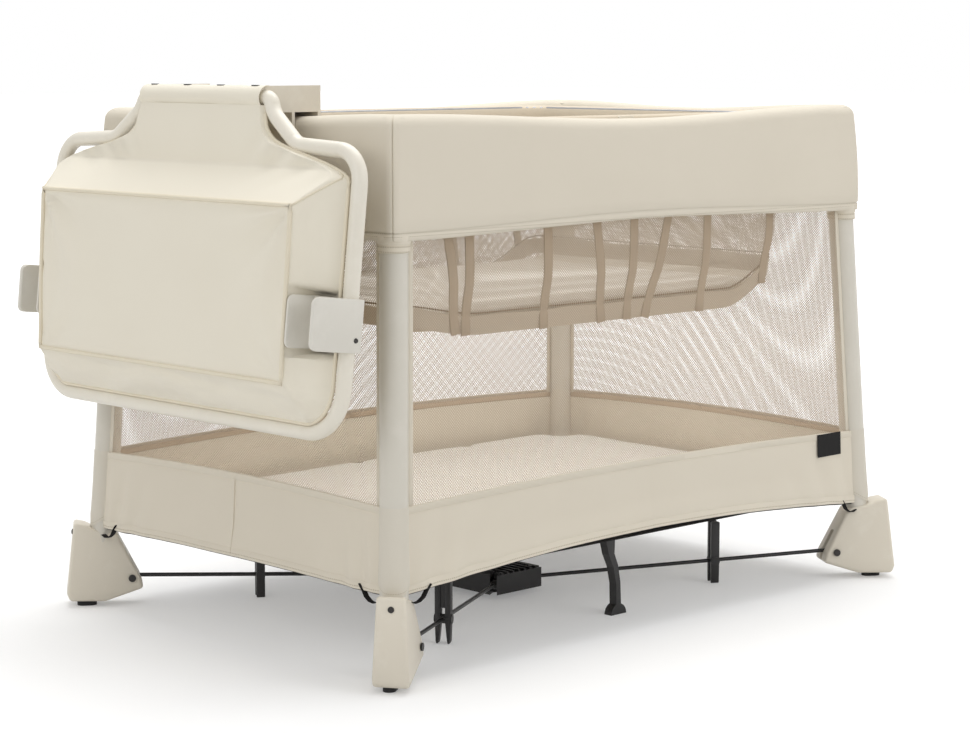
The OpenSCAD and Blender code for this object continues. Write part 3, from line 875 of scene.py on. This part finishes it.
def tub_floor_z(x):
    """The tub's bottom edge: level in the middle, and rising towards both ends."""
    left, right = x - tub_lo.x, tub_hi.x - x
    return tub_lo.z + 0.020 * smooth(1 - left / 0.16) + 0.046 * smooth(1 - right / 0.13) - 0.001


def tub_wall_point(u, v, inset):
    """The hung wall between its bottom edge and the rim; it draws in a little as it goes down."""
    at, out = tub_outline(u, inset)
    low = tub_floor_z(at.x)
    z = mix(low, tub_hi.z - 0.004, v)
    draw = 0.016 * smooth(1 - v * 3.2)
    at = at - out * draw
    at.z = z
    return at, out


def make_tub():
    perimeter = 2 * (tub_hi.x - tub_lo.x + tub_hi.y - tub_lo.y) - (8 - 2 * math.pi) * TUB_CORNER
    height = tub_hi.z - tub_lo.z

    def wall(u, v, column, row):
        return tub_wall_point(u, v, 0.002)[0]

    bm = surface(TUB_COLUMNS, 16, wall, (perimeter, height))
    bmesh.ops.remove_doubles(bm, verts=bm.verts[:], dist=0.00001)
    net = finish_piece(bm, "tub_net", net_tub, "accessories")
    make_shell(net, 0.0005, 0.0)
    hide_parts("bassinet_tub")

    def lower(u, v, column, row):
        at, out = tub_wall_point(u, 0, -0.0004)
        scallop = 0.003 * abs(math.sin(math.pi * u * 18))
        at.z += mix(-0.001, 0.027 - scallop, v)
        return at + out * (0.0006 + 0.004 * v)

    bm = surface(TUB_COLUMNS, 5, lower, (perimeter, 0.028))
    bmesh.ops.remove_doubles(bm, verts=bm.verts[:], dist=0.00001)
    skirt = finish_piece(bm, "tub_lower_band", tub_cloth, "accessories")
    make_shell(skirt, 0.0012, 1.0)

    seam = []
    for k in range(140):
        outward = tub_wall_point(k / 140, 0, 0)[1]
        seam.append(tub_wall_point(k / 140, 0, -0.002)[0] + Vector((0, 0, 0.0285)) + outward * 0.003)
    piping("tub_seam", seam, 0.0013, seam_tape, "accessories", closed=True, sides=6)

    def hem(u, v, column, row):
        section = [(0.0005, -0.026), (0.0022, -0.0255), (0.0026, -0.004), (0.0030, 0.002),
                   (-0.001, 0.0055), (-0.006, 0.0050),
                   (-0.010, 0.000), (-0.0095, -0.012), (-0.006, -0.026)]
        at, out = tub_outline(u, 0.002)
        push, rise = section[row]
        return Vector((at.x, at.y, tub_hi.z - 0.006 + rise)) + out * push

    bm = surface(TUB_COLUMNS, 8, hem, (perimeter, 0.07))
    bmesh.ops.remove_doubles(bm, verts=bm.verts[:], dist=0.00001)
    rim_cover = finish_piece(bm, "tub_rim_cover", tub_cloth, "accessories")
    make_shell(rim_cover, 0.0008, -1.0)


def make_tub_floor():
    """The sewn floor of the tub, under the pad."""
    def place(u, v, column, row):
        turn = Vector((u * 2 - 1, v * 2 - 1, 0))
        x = (tub_lo.x + tub_hi.x) / 2 + turn.x * ((tub_hi.x - tub_lo.x) / 2 - 0.022)
        corner_in = 0.02 * smooth(1 - (1 - abs(turn.x)) * 8) * smooth(1 - (1 - abs(turn.y)) * 8)
        y = turn.y * ((tub_hi.y - tub_lo.y) / 2 - 0.020 - corner_in)
        x -= math.copysign(corner_in, turn.x)
        return Vector((x, y, tub_floor_z(x) + 0.0025))

    size = (tub_hi.x - tub_lo.x - 0.044, tub_hi.y - tub_lo.y - 0.04)
    bm = surface(60, 40, place, size)
    floor_piece = finish_piece(bm, "tub_floor", lining_cloth, "accessories")
    make_shell(floor_piece, 0.0015, 0.0)


STRAPS = [(-0.369, -0.318), (-0.307, -0.300), (-0.157, -0.150), (-0.077, -0.033), (0.025, 0.020),
          (0.130, 0.058), (0.184, 0.179), (0.330, 0.322)]


def make_straps():
    """Webbing straps from the rim down to the lower band, on both long sides."""
    bm = bmesh.new()
    across = Vector((0, 1, 0))
    for side in (-1, 1):
        for top_x, low_x in STRAPS:
            points = []
            for k in range(13):
                v = k / 12
                x = MID_X + mix(low_x, top_x, v)
                low = tub_floor_z(x)
                z = mix(low - 0.002, tub_hi.z - 0.012, v)
                draw = 0.016 * smooth(1 - v * 3.2)
                y = side * ((tub_hi.y - tub_lo.y) / 2 - 0.002 - draw + 0.0022 + 0.0045 * smooth(1 - v * 6))
                points.append((x, y, z))
            tube_path(bm, points, 0.0088, 8, flat=0.12, up=across)
    bmesh.ops.recalc_face_normals(bm, faces=bm.faces[:])
    finish_piece(bm, "tub_straps", strap_tape, "accessories")


tub_cloth = cloth_finish("tub_cloth", srgb(218, 206, 186), srgb(206, 192, 170), pitch=0.0006)
seam_tape = webbing_finish("seam_tape", srgb(150, 134, 110), srgb(128, 112, 90))
make_tub()
make_tub_floor()
make_straps()
lo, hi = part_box("bassinet_pad")
lo = lo + Vector((0.018, 0.018, 0.012))
hi = hi - Vector((0.026, 0.018, 0.0))
pad_seams = [mix(lo.x, hi.x, k / 4) for k in (1, 2, 3)]
pad = padded_sheet("bassinet_pad_cover", lo, hi + Vector((0, 0, 0.009)), 80, 56, 0.003, pad_cloth,
                   "accessories", 0.016)
swell(pad, 0.006, 4.0, 0.003)
press_seams(pad, pad_seams, (lo.z + hi.z) / 2, 0.006)


def make_battens():
    """Two flat battens sewn under the tub's floor, which follow its lift at both ends."""
    bm = bmesh.new()
    reach = (tub_hi.x - tub_lo.x) / 2 - 0.05
    for y in (-0.15, 0.15):
        stations = [MID_X + reach * (k / 12 - 1) for k in range(25)]
        points = [(x, y, tub_floor_z(x) - 0.0035) for x in stations]
        tube_path(bm, points, 0.010, 10, flat=0.3, up=Vector((0, 0, 1)))
    bmesh.ops.recalc_face_normals(bm, faces=bm.faces[:])
    battens = finish_piece(bm, "tub_battens", tub_cloth, "accessories")
    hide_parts("bassinet_bars")


make_battens()
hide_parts("bassinet_pad")

# ---- changing tray -----------------------------------------------------------------------------------

SADDLE_FROM, SADDLE_TO = 0.250, 0.318
HANG_TILT = math.radians(6.3)
hinge_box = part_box("changer_hinge")
HINGE = Vector((hinge_box[0].x + 0.0155, 0, hinge_box[1].z - 0.0155))
DOWN = Vector((-math.sin(HANG_TILT), 0, -math.cos(HANG_TILT)))
OUT = Vector((-math.cos(HANG_TILT), 0, math.sin(HANG_TILT)))
ACROSS = Vector((0, 1, 0))
LOOP_R = 0.0105
SIDE_HALF = 0.327
LOOP_LEN = 0.426
LOOP_BEND = 0.052
PANEL_TOP, PANEL_LOW = 0.139, 0.364
SADDLE_INNER = 0.2762
SADDLE_TIP = 0.0598
NECK_END = 0.090


def hang(down, across, out):
    """A point in the tray's own frame: down from the hinge, across, and out from the loop's plane."""
    return HINGE + DOWN * down + ACROSS * across + OUT * out


def loop_half(down):
    """Half width inside the tube loop: a narrow neck, shoulders, straight sides and round lower corners."""
    inside = SIDE_HALF - LOOP_R
    if down < 0.104:
        if down < 0.034:
            return mix(0.131, 0.142, down / 0.034)
        share = (down - 0.034) / 0.070
        return 0.142 + 0.052 * smooth(share * 1.35) + (inside - 0.194) * smooth((share - 0.28) / 0.72)
    over = down - (LOOP_LEN - LOOP_R - LOOP_BEND)
    if over <= 0:
        return inside
    return inside - LOOP_BEND + math.sqrt(max(0.0, LOOP_BEND * LOOP_BEND - over * over))


def panel_share(down):
    return max(0.0, min(1.0, (down - PANEL_TOP) / (PANEL_LOW - PANEL_TOP)))


def panel_half(down):
    return mix(0.2755, 0.2715, panel_share(down))


def panel_depth(down):
    return mix(0.066, 0.056, panel_share(down))


def sling_depth(down, across):
    """How far the sling stands out: a flat panel with four sloping sides, and a shallow neck above."""
    width = loop_half(down)
    edge = 0.006
    inside = SIDE_HALF - LOOP_R
    deep = panel_depth(down)
    pillow = 0.0045 * (1 - (across / 0.275) ** 4) * math.sin(math.pi * panel_share(down)) ** 0.6
    side = edge + (width - abs(across)) * (deep - edge) / (inside - panel_half(down))
    neck = mix(0.0125, 0.0165, smooth(down / NECK_END))
    slope = (panel_depth(PANEL_TOP) - neck) / (PANEL_TOP - NECK_END)
    above = neck + max(0.0, down - NECK_END) * slope
    share_below = max(0.0, (LOOP_LEN - LOOP_R - down) / (LOOP_LEN - LOOP_R - PANEL_LOW))
    below = edge + (deep - edge) * min(1.0, share_below) ** 0.8 if down > PANEL_LOW else deep + pillow
    depth = min(deep + pillow, side, above, below)
    by_saddle = smooth((down - SADDLE_FROM + 0.012) / 0.010) * smooth((SADDLE_TO + 0.012 - down) / 0.010)
    tuck = smooth((abs(across) - SADDLE_INNER + 0.003) / 0.003)
    if by_saddle and tuck:
        depth = mix(depth, mix(depth, -0.001 * tuck, tuck), by_saddle)
    return depth


def sling_folds(down, across):
    """Soft wrinkles: diagonal pulls from the panel's corners, upright ones on the sides, crumples below."""
    fold, half = 0.0, panel_half(down)
    share = panel_share(down)
    on_panel = smooth((half - abs(across)) / 0.02) * smooth(share * 14) * smooth((1 - share) * 14)
    for sx in (-1, 1):
        for corner_down, way, size in ((PANEL_TOP, 1, 0.0062), (PANEL_LOW, -1, 0.0030)):
            dx, dy = (half - sx * across), (down - corner_down) * way
            if dy > 0 and dx > 0:
                reach = math.hypot(dx, dy)
                turn = math.atan2(dy, dx)
                pull = size * math.sin(turn * 8 + sx * 0.8) * math.exp(-reach / 0.15)
                fold += pull * smooth(reach / 0.03) * on_panel
    side = smooth((abs(across) - half) / 0.010) * smooth((down - 0.12) / 0.04)
    fold += side * (0.0042 * math.sin(abs(across) * 150 + 2 * wave((down, across, 0), 6, 1.0)) * 0.6
                    + 0.0050 * wave((abs(across) * 2.2, down * 0.5, across), 13, 5.0))
    under = smooth((down - PANEL_LOW) / 0.012)
    crumple = 0.0125 * wave((across * 0.9, down * 2.4, 2.0), 15, 7.0)
    crumple += 0.003 * wave((across, down * 2, 3.0), 40, 2.0)
    fold += under * crumple
    shoulder = smooth((0.13 - down) / 0.05)
    fold += shoulder * (0.0016 * wave((across, down * 0.6, 3.0), 14, 9.0)
                        + 0.0022 * math.sin((abs(across) + down) * 90) * smooth((abs(across) - 0.10) / 0.06))
    fold += 0.0014 * wave((across, down, 4.0), 9, 4.0)
    return fold


def sling_point(down, across, lift=0.0):
    width = loop_half(down)
    near_edge = smooth((width - abs(across)) / 0.012) * smooth((LOOP_LEN - LOOP_R - down) / 0.01)
    depth = sling_depth(down, across) + sling_folds(down, across) * near_edge
    return hang(down, across, depth + lift)


def sling_rows():
    """Heights of the rows, closer together at the panel's two edges."""
    rows = [0.0105 + k * 0.0040 for k in range(20)]
    rows += [mix(0.090, PANEL_TOP - 0.0012, k / 13) for k in range(14)]
    rows += [mix(PANEL_TOP, PANEL_LOW, k / 60) for k in range(61)]
    rows += [mix(PANEL_LOW + 0.0015, LOOP_LEN - LOOP_R - 0.0006, k / 16) for k in range(17)]
    return rows


def flatten(piece):
    """Gives a piece of the tray its own copy of its mesh."""
    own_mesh(piece)


def make_sling():
    rows = sling_rows()
    side_columns = 20

    def across_at(down, column, columns):
        """The middle columns span the panel, and the outer ones span the sloping side."""
        middle = columns - 2 * side_columns
        width = loop_half(down)
        inner = min(panel_half(down), width * 0.87)
        if column < side_columns:
            return -mix(width, inner, column / side_columns)
        if column > columns - side_columns:
            return mix(inner, width, (column - columns + side_columns) / side_columns)
        return mix(-inner, inner, (column - side_columns) / middle)

    columns = 100

    def place(u, v, column, row):
        down = rows[row]
        return sling_point(down, across_at(down, column, columns))

    bm = surface(columns, len(rows) - 1, place, (0.64, 0.44))
    piece = finish_piece(bm, "sling_front", sling_cloth, "changer")
    make_shell(piece, 0.0018, -1.0)
    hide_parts("changer_tray")

    ring = []
    corners = [(down, s * (panel_half(down) - 0.0008)) for down, s in
               ((PANEL_TOP, -1), (PANEL_TOP, 1), (PANEL_LOW, 1), (PANEL_LOW, -1))]
    for i, (down, across) in enumerate(corners):
        next_down, next_across = corners[(i + 1) % 4]
        for k in range(28):
            share = k / 28
            ring.append(sling_point(mix(down, next_down, share), mix(across, next_across, share), 0.0008))
    flatten(piece)
    flatten(piping("panel_piping", ring, 0.0030, sling_piping, "changer", closed=True))

    edge = []
    for k in range(61):
        down = mix(0.02, LOOP_LEN - LOOP_R - LOOP_BEND, k / 60)
        edge.append((down, -loop_half(down)))
    for k in range(1, 12):
        turn = math.pi / 2 * k / 12
        down = LOOP_LEN - LOOP_R - LOOP_BEND + LOOP_BEND * math.sin(turn)
        edge.append((down, -(SIDE_HALF - LOOP_R - LOOP_BEND + LOOP_BEND * math.cos(turn))))
    edge += [(down, -across) for down, across in reversed(edge)]
    ring = [hang(down, across * 0.995, 0.0075) for down, across in edge]
    piping("edge_piping", ring, 0.0026, sling_piping, "changer")

    for s in (-1, 1):
        seam = []
        for k in range(15):
            down = mix(PANEL_TOP, 0.094, k / 14)
            inner = min(panel_half(PANEL_TOP) + (PANEL_TOP - down) * 0.86, loop_half(down) - 0.004)
            seam.append(sling_point(down, s * inner, 0.0004))
        name = f"shoulder_seam_{'front' if s < 0 else 'rear'}"
        flatten(piping(name, seam, 0.0014, sling_piping, "changer", sides=6))


sling_piping = cloth_finish("sling_piping", srgb(228, 219, 198), srgb(210, 199, 176), pitch=0.0008, rough=0.7)
make_sling()

def make_saddle(side, name):
    """A moulded channel clamped on the tray's tube: a thick outer plate, a thin inner one and a web."""
    section = [(0.2762, 0.0620), (0.2797, 0.0620), (0.2797, 0.0193), (0.3225, 0.0193), (0.3225, 0.0600),
               (0.3245, 0.0620), (0.3285, 0.0612), (0.3425, 0.0080), (0.3425, -0.0100), (0.3225, -0.0100),
               (0.3225, 0.0112), (0.2762, 0.0112)]
    bm = bmesh.new()
    face = bm.faces.new([bm.verts.new((y, d, SADDLE_FROM)) for y, d in section])
    grown = bmesh.ops.extrude_face_region(bm, geom=[face])
    bmesh.ops.translate(bm, verts=[g for g in grown["geom"] if isinstance(g, bmesh.types.BMVert)],
                        vec=(0, 0, SADDLE_TO - SADDLE_FROM))
    bmesh.ops.recalc_face_normals(bm, faces=bm.faces[:])
    def at_tip(edge):
        first, second = (v.co for v in edge.verts)
        return min(first.y, second.y) > SADDLE_TIP and first.z == second.z

    round_edges(bm, [e for e in bm.edges if at_tip(e)], 0.009, 6)
    round_edges(bm, sharp_edges(bm), 0.0009, 2)
    for vert in bm.verts:
        across, out, down = vert.co
        vert.co = hang(down, side * across, out)
    bmesh.ops.recalc_face_normals(bm, faces=bm.faces[:])
    saddle = finish_piece(bm, "saddle_" + name, saddle_moulded, "changer")
    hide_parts("changer_saddle_" + name)

    bm = bmesh.new()
    bmesh.ops.create_cone(bm, cap_ends=True, segments=20, radius1=0.0034, radius2=0.0028, depth=0.0016)
    turn = Euler((math.pi / 2 * -side, 0, 0)).to_matrix()
    place = Matrix.Translation(hang(0.302, side * 0.3431, 0.0)) @ turn.to_4x4()
    bmesh.ops.transform(bm, matrix=place, verts=bm.verts[:])
    finish_piece(bm, "saddle_screw_" + name, dark_screw, "changer", False)


saddle_moulded = moulded_finish("saddle_moulded", srgb(214, 210, 200), srgb(224, 220, 211), rough=0.38)
make_saddle(-1, "front")
make_saddle(1, "rear")


def make_neck_wrap():
    """The cloth sleeve over the hinge barrel, with four narrow slots along its top."""
    half = 0.1315

    def place(u, v, column, row):
        turn = mix(-0.62, 0.56, v) * math.pi
        radius = 0.0162 + 0.0005 * wave((u * 9, turn, 0.0), 1.0, 6.0)
        return HINGE + Vector((-math.cos(turn) * radius, mix(-half, half, u), math.sin(turn) * radius))

    bm = surface(48, 18, place, (2 * half, 0.058))
    wrap = finish_piece(bm, "neck_wrap", sling_cloth, "accessories")
    make_shell(wrap, 0.0006, 1.0)
    bm = bmesh.new()
    for y in (-0.110, -0.036, 0.038, 0.112):
        slot = block((0.0045, 0.013, 0.0012), 0.0004, 2)
        bmesh.ops.translate(slot, verts=slot.verts[:], vec=HINGE + Vector((-0.0035, y, 0.0160)))
        add_shape(bm, slot)
    finish_piece(bm, "neck_slots", black_moulded, "accessories", False)


make_neck_wrap()

# ---- feet, floor legs and tag ------------------------------------------------------------------------

ARM_BACK, PIVOT_Z, LEG_AT = 0.0467, 0.043, 0.183


def arm_turn(name):
    lo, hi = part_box("floor_arm_" + name)
    sx, sy = CORNERS[name]
    return math.atan2(sy * (hi.y - lo.y), sx * (hi.x - lo.x))


def make_foot(name):
    """A moulded foot: narrow where it grips the post and wider below, with a slot for the floor arm."""
    sx, sy = CORNERS[name]
    foot = post_centre(name, 0.0)
    foot.z = 0
    turn = math.atan2(sy * foot.y * sy, sx * (foot.x - MID_X) * sx)
    twist = math.atan2(sy, sx) - turn
    outline = [(-0.027, 0.110), (-0.061, 0.042), (-0.065, 0.027), (-0.008, 0.0085), (0.044, 0.0085),
               (0.048, 0.020), (0.0360, 0.1265), (0.020, 0.1235), (0.006, 0.1165)]
    bm = plate(outline, -0.025, 0.025, 0.0048, 4)
    for vert in bm.verts:
        rho, z, across = vert.co
        narrow = mix(1.0, 0.80, smooth((z - 0.045) / 0.080))
        vert.co = Vector((rho, across * narrow + max(0.0, rho) * math.tan(twist) * 0.8, z))
    bmesh.ops.recalc_face_normals(bm, faces=bm.faces[:])
    piece = finish_piece(bm, "foot_shell_" + name, cream_moulded, "post_" + name)
    cutter = block((0.041, 0.012, 0.062), 0.001, 1)
    bmesh.ops.translate(cutter, verts=cutter.verts[:], vec=(-ARM_BACK - 0.0035, 0, PIVOT_Z + 0.001))
    spare = bpy.data.meshes.new("spare")
    cutter.to_mesh(spare)
    cutter.free()
    knife = bpy.data.objects.new("spare", spare)
    scene.collection.objects.link(knife)
    cut = piece.modifiers.new("slot", "BOOLEAN")
    cut.operation, cut.solver, cut.object = "DIFFERENCE", "EXACT", knife
    apply_modifiers(piece)
    bpy.data.objects.remove(knife)
    bpy.data.meshes.remove(spare)
    piece.data.transform(Matrix.Translation(foot) @ Matrix.Rotation(turn, 4, "Z"))
    piece.data.set_sharp_from_angle(angle=math.radians(50))
    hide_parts("foot_" + name)

    bm = bmesh.new()
    bmesh.ops.create_cone(bm, cap_ends=True, segments=24, radius1=0.0044, radius2=0.0040, depth=0.0018)
    bmesh.ops.create_cone(bm, cap_ends=True, segments=6, radius1=0.0021, radius2=0.0021, depth=0.0030)
    lean = Euler((0, math.pi / 2 - 0.11, 0)).to_matrix().to_4x4()
    at = Vector((0.0384, 0.0384 * math.tan(twist) * 0.8, 0.1105))
    place = Matrix.Translation(foot) @ Matrix.Rotation(turn, 4, "Z") @ Matrix.Translation(at) @ lean
    bmesh.ops.transform(bm, matrix=place, verts=bm.verts[:])
    finish_piece(bm, "foot_screw_" + name, dark_screw, "post_" + name, False)


def make_floor_leg(name):
    """A forked leg: two tapered prongs, joined above the arm and by an eye round it."""
    lo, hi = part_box("floor_leg_" + name)
    middle = (lo + hi) / 2
    rod_z = PIVOT_Z - LEG_AT * 0.0417
    bm = bmesh.new()
    shapes = []
    for s in (-1, 1):
        top = hi.z * 1000 - 0.5
        prong = [(3.3, 31), (6.0, 5), (7.0, 0.4), (9.4, 0.4), (10.4, 4), (11.6, 34), (11.6, top), (3.3, top)]
        outline = [(s * p / 1000, z / 1000) for p, z in prong]
        shapes.append(plate(outline if s > 0 else outline[::-1], -0.0065, 0.0065, 0.0012, 2))
    web = [(-0.0036, rod_z + 0.016), (0.0036, rod_z + 0.016), (0.0036, hi.z - 0.004), (-0.0036, hi.z - 0.004)]
    shapes.append(plate(web, -0.0045, 0.0045, 0.0004, 1))
    for shape in shapes:
        add_shape(bm, shape)
    for vert in bm.verts:
        across, z, along = vert.co
        vert.co = (along, across, z)
    eye = bmesh.ops.create_cone(bm, cap_ends=True, segments=24, radius1=0.0068, radius2=0.0068, depth=0.0256)
    bmesh.ops.rotate(bm, verts=eye["verts"], matrix=Matrix.Rotation(math.pi / 2, 3, "X"))
    bmesh.ops.translate(bm, verts=eye["verts"], vec=(0, 0, rod_z))
    turn = Matrix.Translation(Vector((middle.x, middle.y, 0))) @ Matrix.Rotation(arm_turn(name), 4, "Z")
    bmesh.ops.transform(bm, matrix=turn, verts=bm.verts[:])
    bmesh.ops.recalc_face_normals(bm, faces=bm.faces[:])
    leg = finish_piece(bm, "forked_leg_" + name, black_moulded, "arm_" + name)
    leg.data.set_sharp_from_angle(angle=math.radians(40))
    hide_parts("floor_leg_" + name)


def make_tag():
    """A plain cloth tag sewn flat on the front skirt."""
    def place(u, v, column, row):
        z = mix(0.201, 0.236, v)
        y = -half_sizes(z, FABRIC_INSET)[1] - 0.0022
        return Vector((MID_X + mix(0.380, 0.436, u), y, z))

    bm = surface(12, 8, place, (0.056, 0.035))
    tag = finish_piece(bm, "skirt_tag", black_tape, "post_front_right")
    make_shell(tag, 0.0008, 1.0)
    gather(tag)


for corner_name in CORNERS:
    make_foot(corner_name)
    make_floor_leg(corner_name)
make_tag()

# ---- carried-over pieces and their finishes ----------------------------------------------------------

def coat(node, material, rounding=0.0, segments=2):
    """Gives a CAD node its finish, and rounds its edges without touching its mesh."""
    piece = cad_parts[node]
    piece.data.materials.clear()
    piece.data.materials.append(material)
    if rounding:
        weld = piece.modifiers.new("weld", "WELD")
        weld.merge_threshold = 0.00002
        edges = piece.modifiers.new("edges", "BEVEL")
        edges.width = rounding
        edges.segments = segments
        edges.limit_method = "ANGLE"
        edges.angle_limit = math.radians(35)
        edges.harden_normals = False
        edges.use_clamp_overlap = True


for name in CORNERS:
    coat("post_" + name, post_coat)
    coat("foot_pin_" + name, dark_screw)
    coat("glide_" + name, rubber)
    coat("bracket_" + name, black_moulded, 0.0015)
    coat("long_rail_" + name, bare_steel)
    coat("short_rail_" + name, bare_steel)
    coat("floor_arm_" + name, black_coat)
coat("hub", black_moulded, 0.003, 3)
coat("hub_handle", black_moulded, 0.002)
coat("mid_leg_front", black_moulded, 0.0015)
coat("mid_leg_rear", black_moulded, 0.0015)
coat("bassinet_rim", bare_steel)
coat("bassinet_clips", cream_moulded, 0.002)
coat("changer_hinge", cream_moulded, 0.003, 3)
coat("changer_loop", loop_coat)

# ---- floor, light and camera -------------------------------------------------------------------------

def make_stage():
    bm = bmesh.new()
    bmesh.ops.create_grid(bm, x_segments=1, y_segments=1, size=40)
    mesh = bpy.data.meshes.new("studio_floor")
    bm.to_mesh(mesh)
    bm.free()
    floor = bpy.data.objects.new("studio_floor", mesh)
    scene.collection.objects.link(floor)
    material = bpy.data.materials.new("studio_floor")
    material.use_nodes = True
    n = Nodes(material.node_tree)
    material.node_tree.nodes.clear()
    matte = n.add("ShaderNodeBsdfDiffuse")
    matte.inputs["Color"].default_value = (0.80, 0.80, 0.80, 1)
    glow = n.add("ShaderNodeEmission")
    glow.inputs["Color"].default_value = (1, 1, 1, 1)
    path = n.add("ShaderNodeLightPath").outputs
    through = n.math("MAXIMUM", path["Is Glossy Ray"], path["Is Transmission Ray"])
    seen = n.math("MAXIMUM", path["Is Camera Ray"], through)
    away = n.add("ShaderNodeVectorMath", operation="LENGTH")
    n.wire(n.add("ShaderNodeTexCoord").outputs["Object"], away.inputs[0])
    ramp = n.add("ShaderNodeMapRange", interpolation_type="SMOOTHSTEP")
    n.wire(away.outputs["Value"], ramp.inputs["Value"])
    for label, value in (("From Min", 0.9), ("From Max", 4.0), ("To Min", 0.22), ("To Max", 0.75)):
        ramp.inputs[label].default_value = value
    n.wire(n.math("MULTIPLY", seen, ramp.outputs["Result"]), glow.inputs["Strength"])
    both = n.add("ShaderNodeAddShader")
    n.wire(matte.outputs[0], both.inputs[0])
    n.wire(glow.outputs[0], both.inputs[1])
    n.wire(both.outputs[0], n.add("ShaderNodeOutputMaterial").inputs[0])
    mesh.materials.append(material)


def make_world():
    world = bpy.data.worlds.new("studio")
    scene.world = world
    world.use_nodes = True
    n = Nodes(world.node_tree)
    world.node_tree.nodes.clear()
    sky = n.add("ShaderNodeBackground")
    sky.inputs["Color"].default_value = (1, 1, 1, 1)
    path = n.add("ShaderNodeLightPath").outputs
    through = n.math("MAXIMUM", path["Is Glossy Ray"], path["Is Transmission Ray"])
    seen = n.math("MAXIMUM", path["Is Camera Ray"], through)
    n.wire(n.math("ADD", n.math("MULTIPLY", seen, 0.38), 0.62), sky.inputs["Strength"])
    n.wire(sky.outputs[0], n.add("ShaderNodeOutputWorld").inputs[0])


def softbox(name, place, target, size, watts):
    lamp = bpy.data.lights.new(name, "AREA")
    lamp.shape = "RECTANGLE"
    lamp.size, lamp.size_y = size
    lamp.energy = watts
    light = bpy.data.objects.new(name, lamp)
    light.location = place
    light.rotation_euler = (Vector(target) - Vector(place)).to_track_quat("-Z", "Y").to_euler()
    scene.collection.objects.link(light)


def make_camera():
    data = bpy.data.cameras.new("camera")
    data.lens = 89.98
    data.sensor_width = 36
    camera = bpy.data.objects.new("camera", data)
    camera.location = (MID_X - 2.5377, -2.6350, 0.8161)
    camera.rotation_euler = Euler((math.radians(82.67), 0, math.radians(-43.81)))
    scene.collection.objects.link(camera)
    scene.camera = camera


make_stage()
make_world()
softbox("overhead", (0.5, 0.4, 3.2), (0, 0, 0.3), (3.0, 2.4), 70)
softbox("end_side", (-3.6, -0.4, 1.9), (0, 0, 0.4), (2.4, 2.0), 22)
softbox("long_side", (1.2, -3.8, 2.0), (0, 0, 0.4), (2.8, 2.0), 30)
softbox("inside_fill", (MID_X, 0, 0.42), (MID_X, 0, 0.1), (0.8, 0.5), 1.5)
make_camera()
scene.view_settings.view_transform = "Standard"
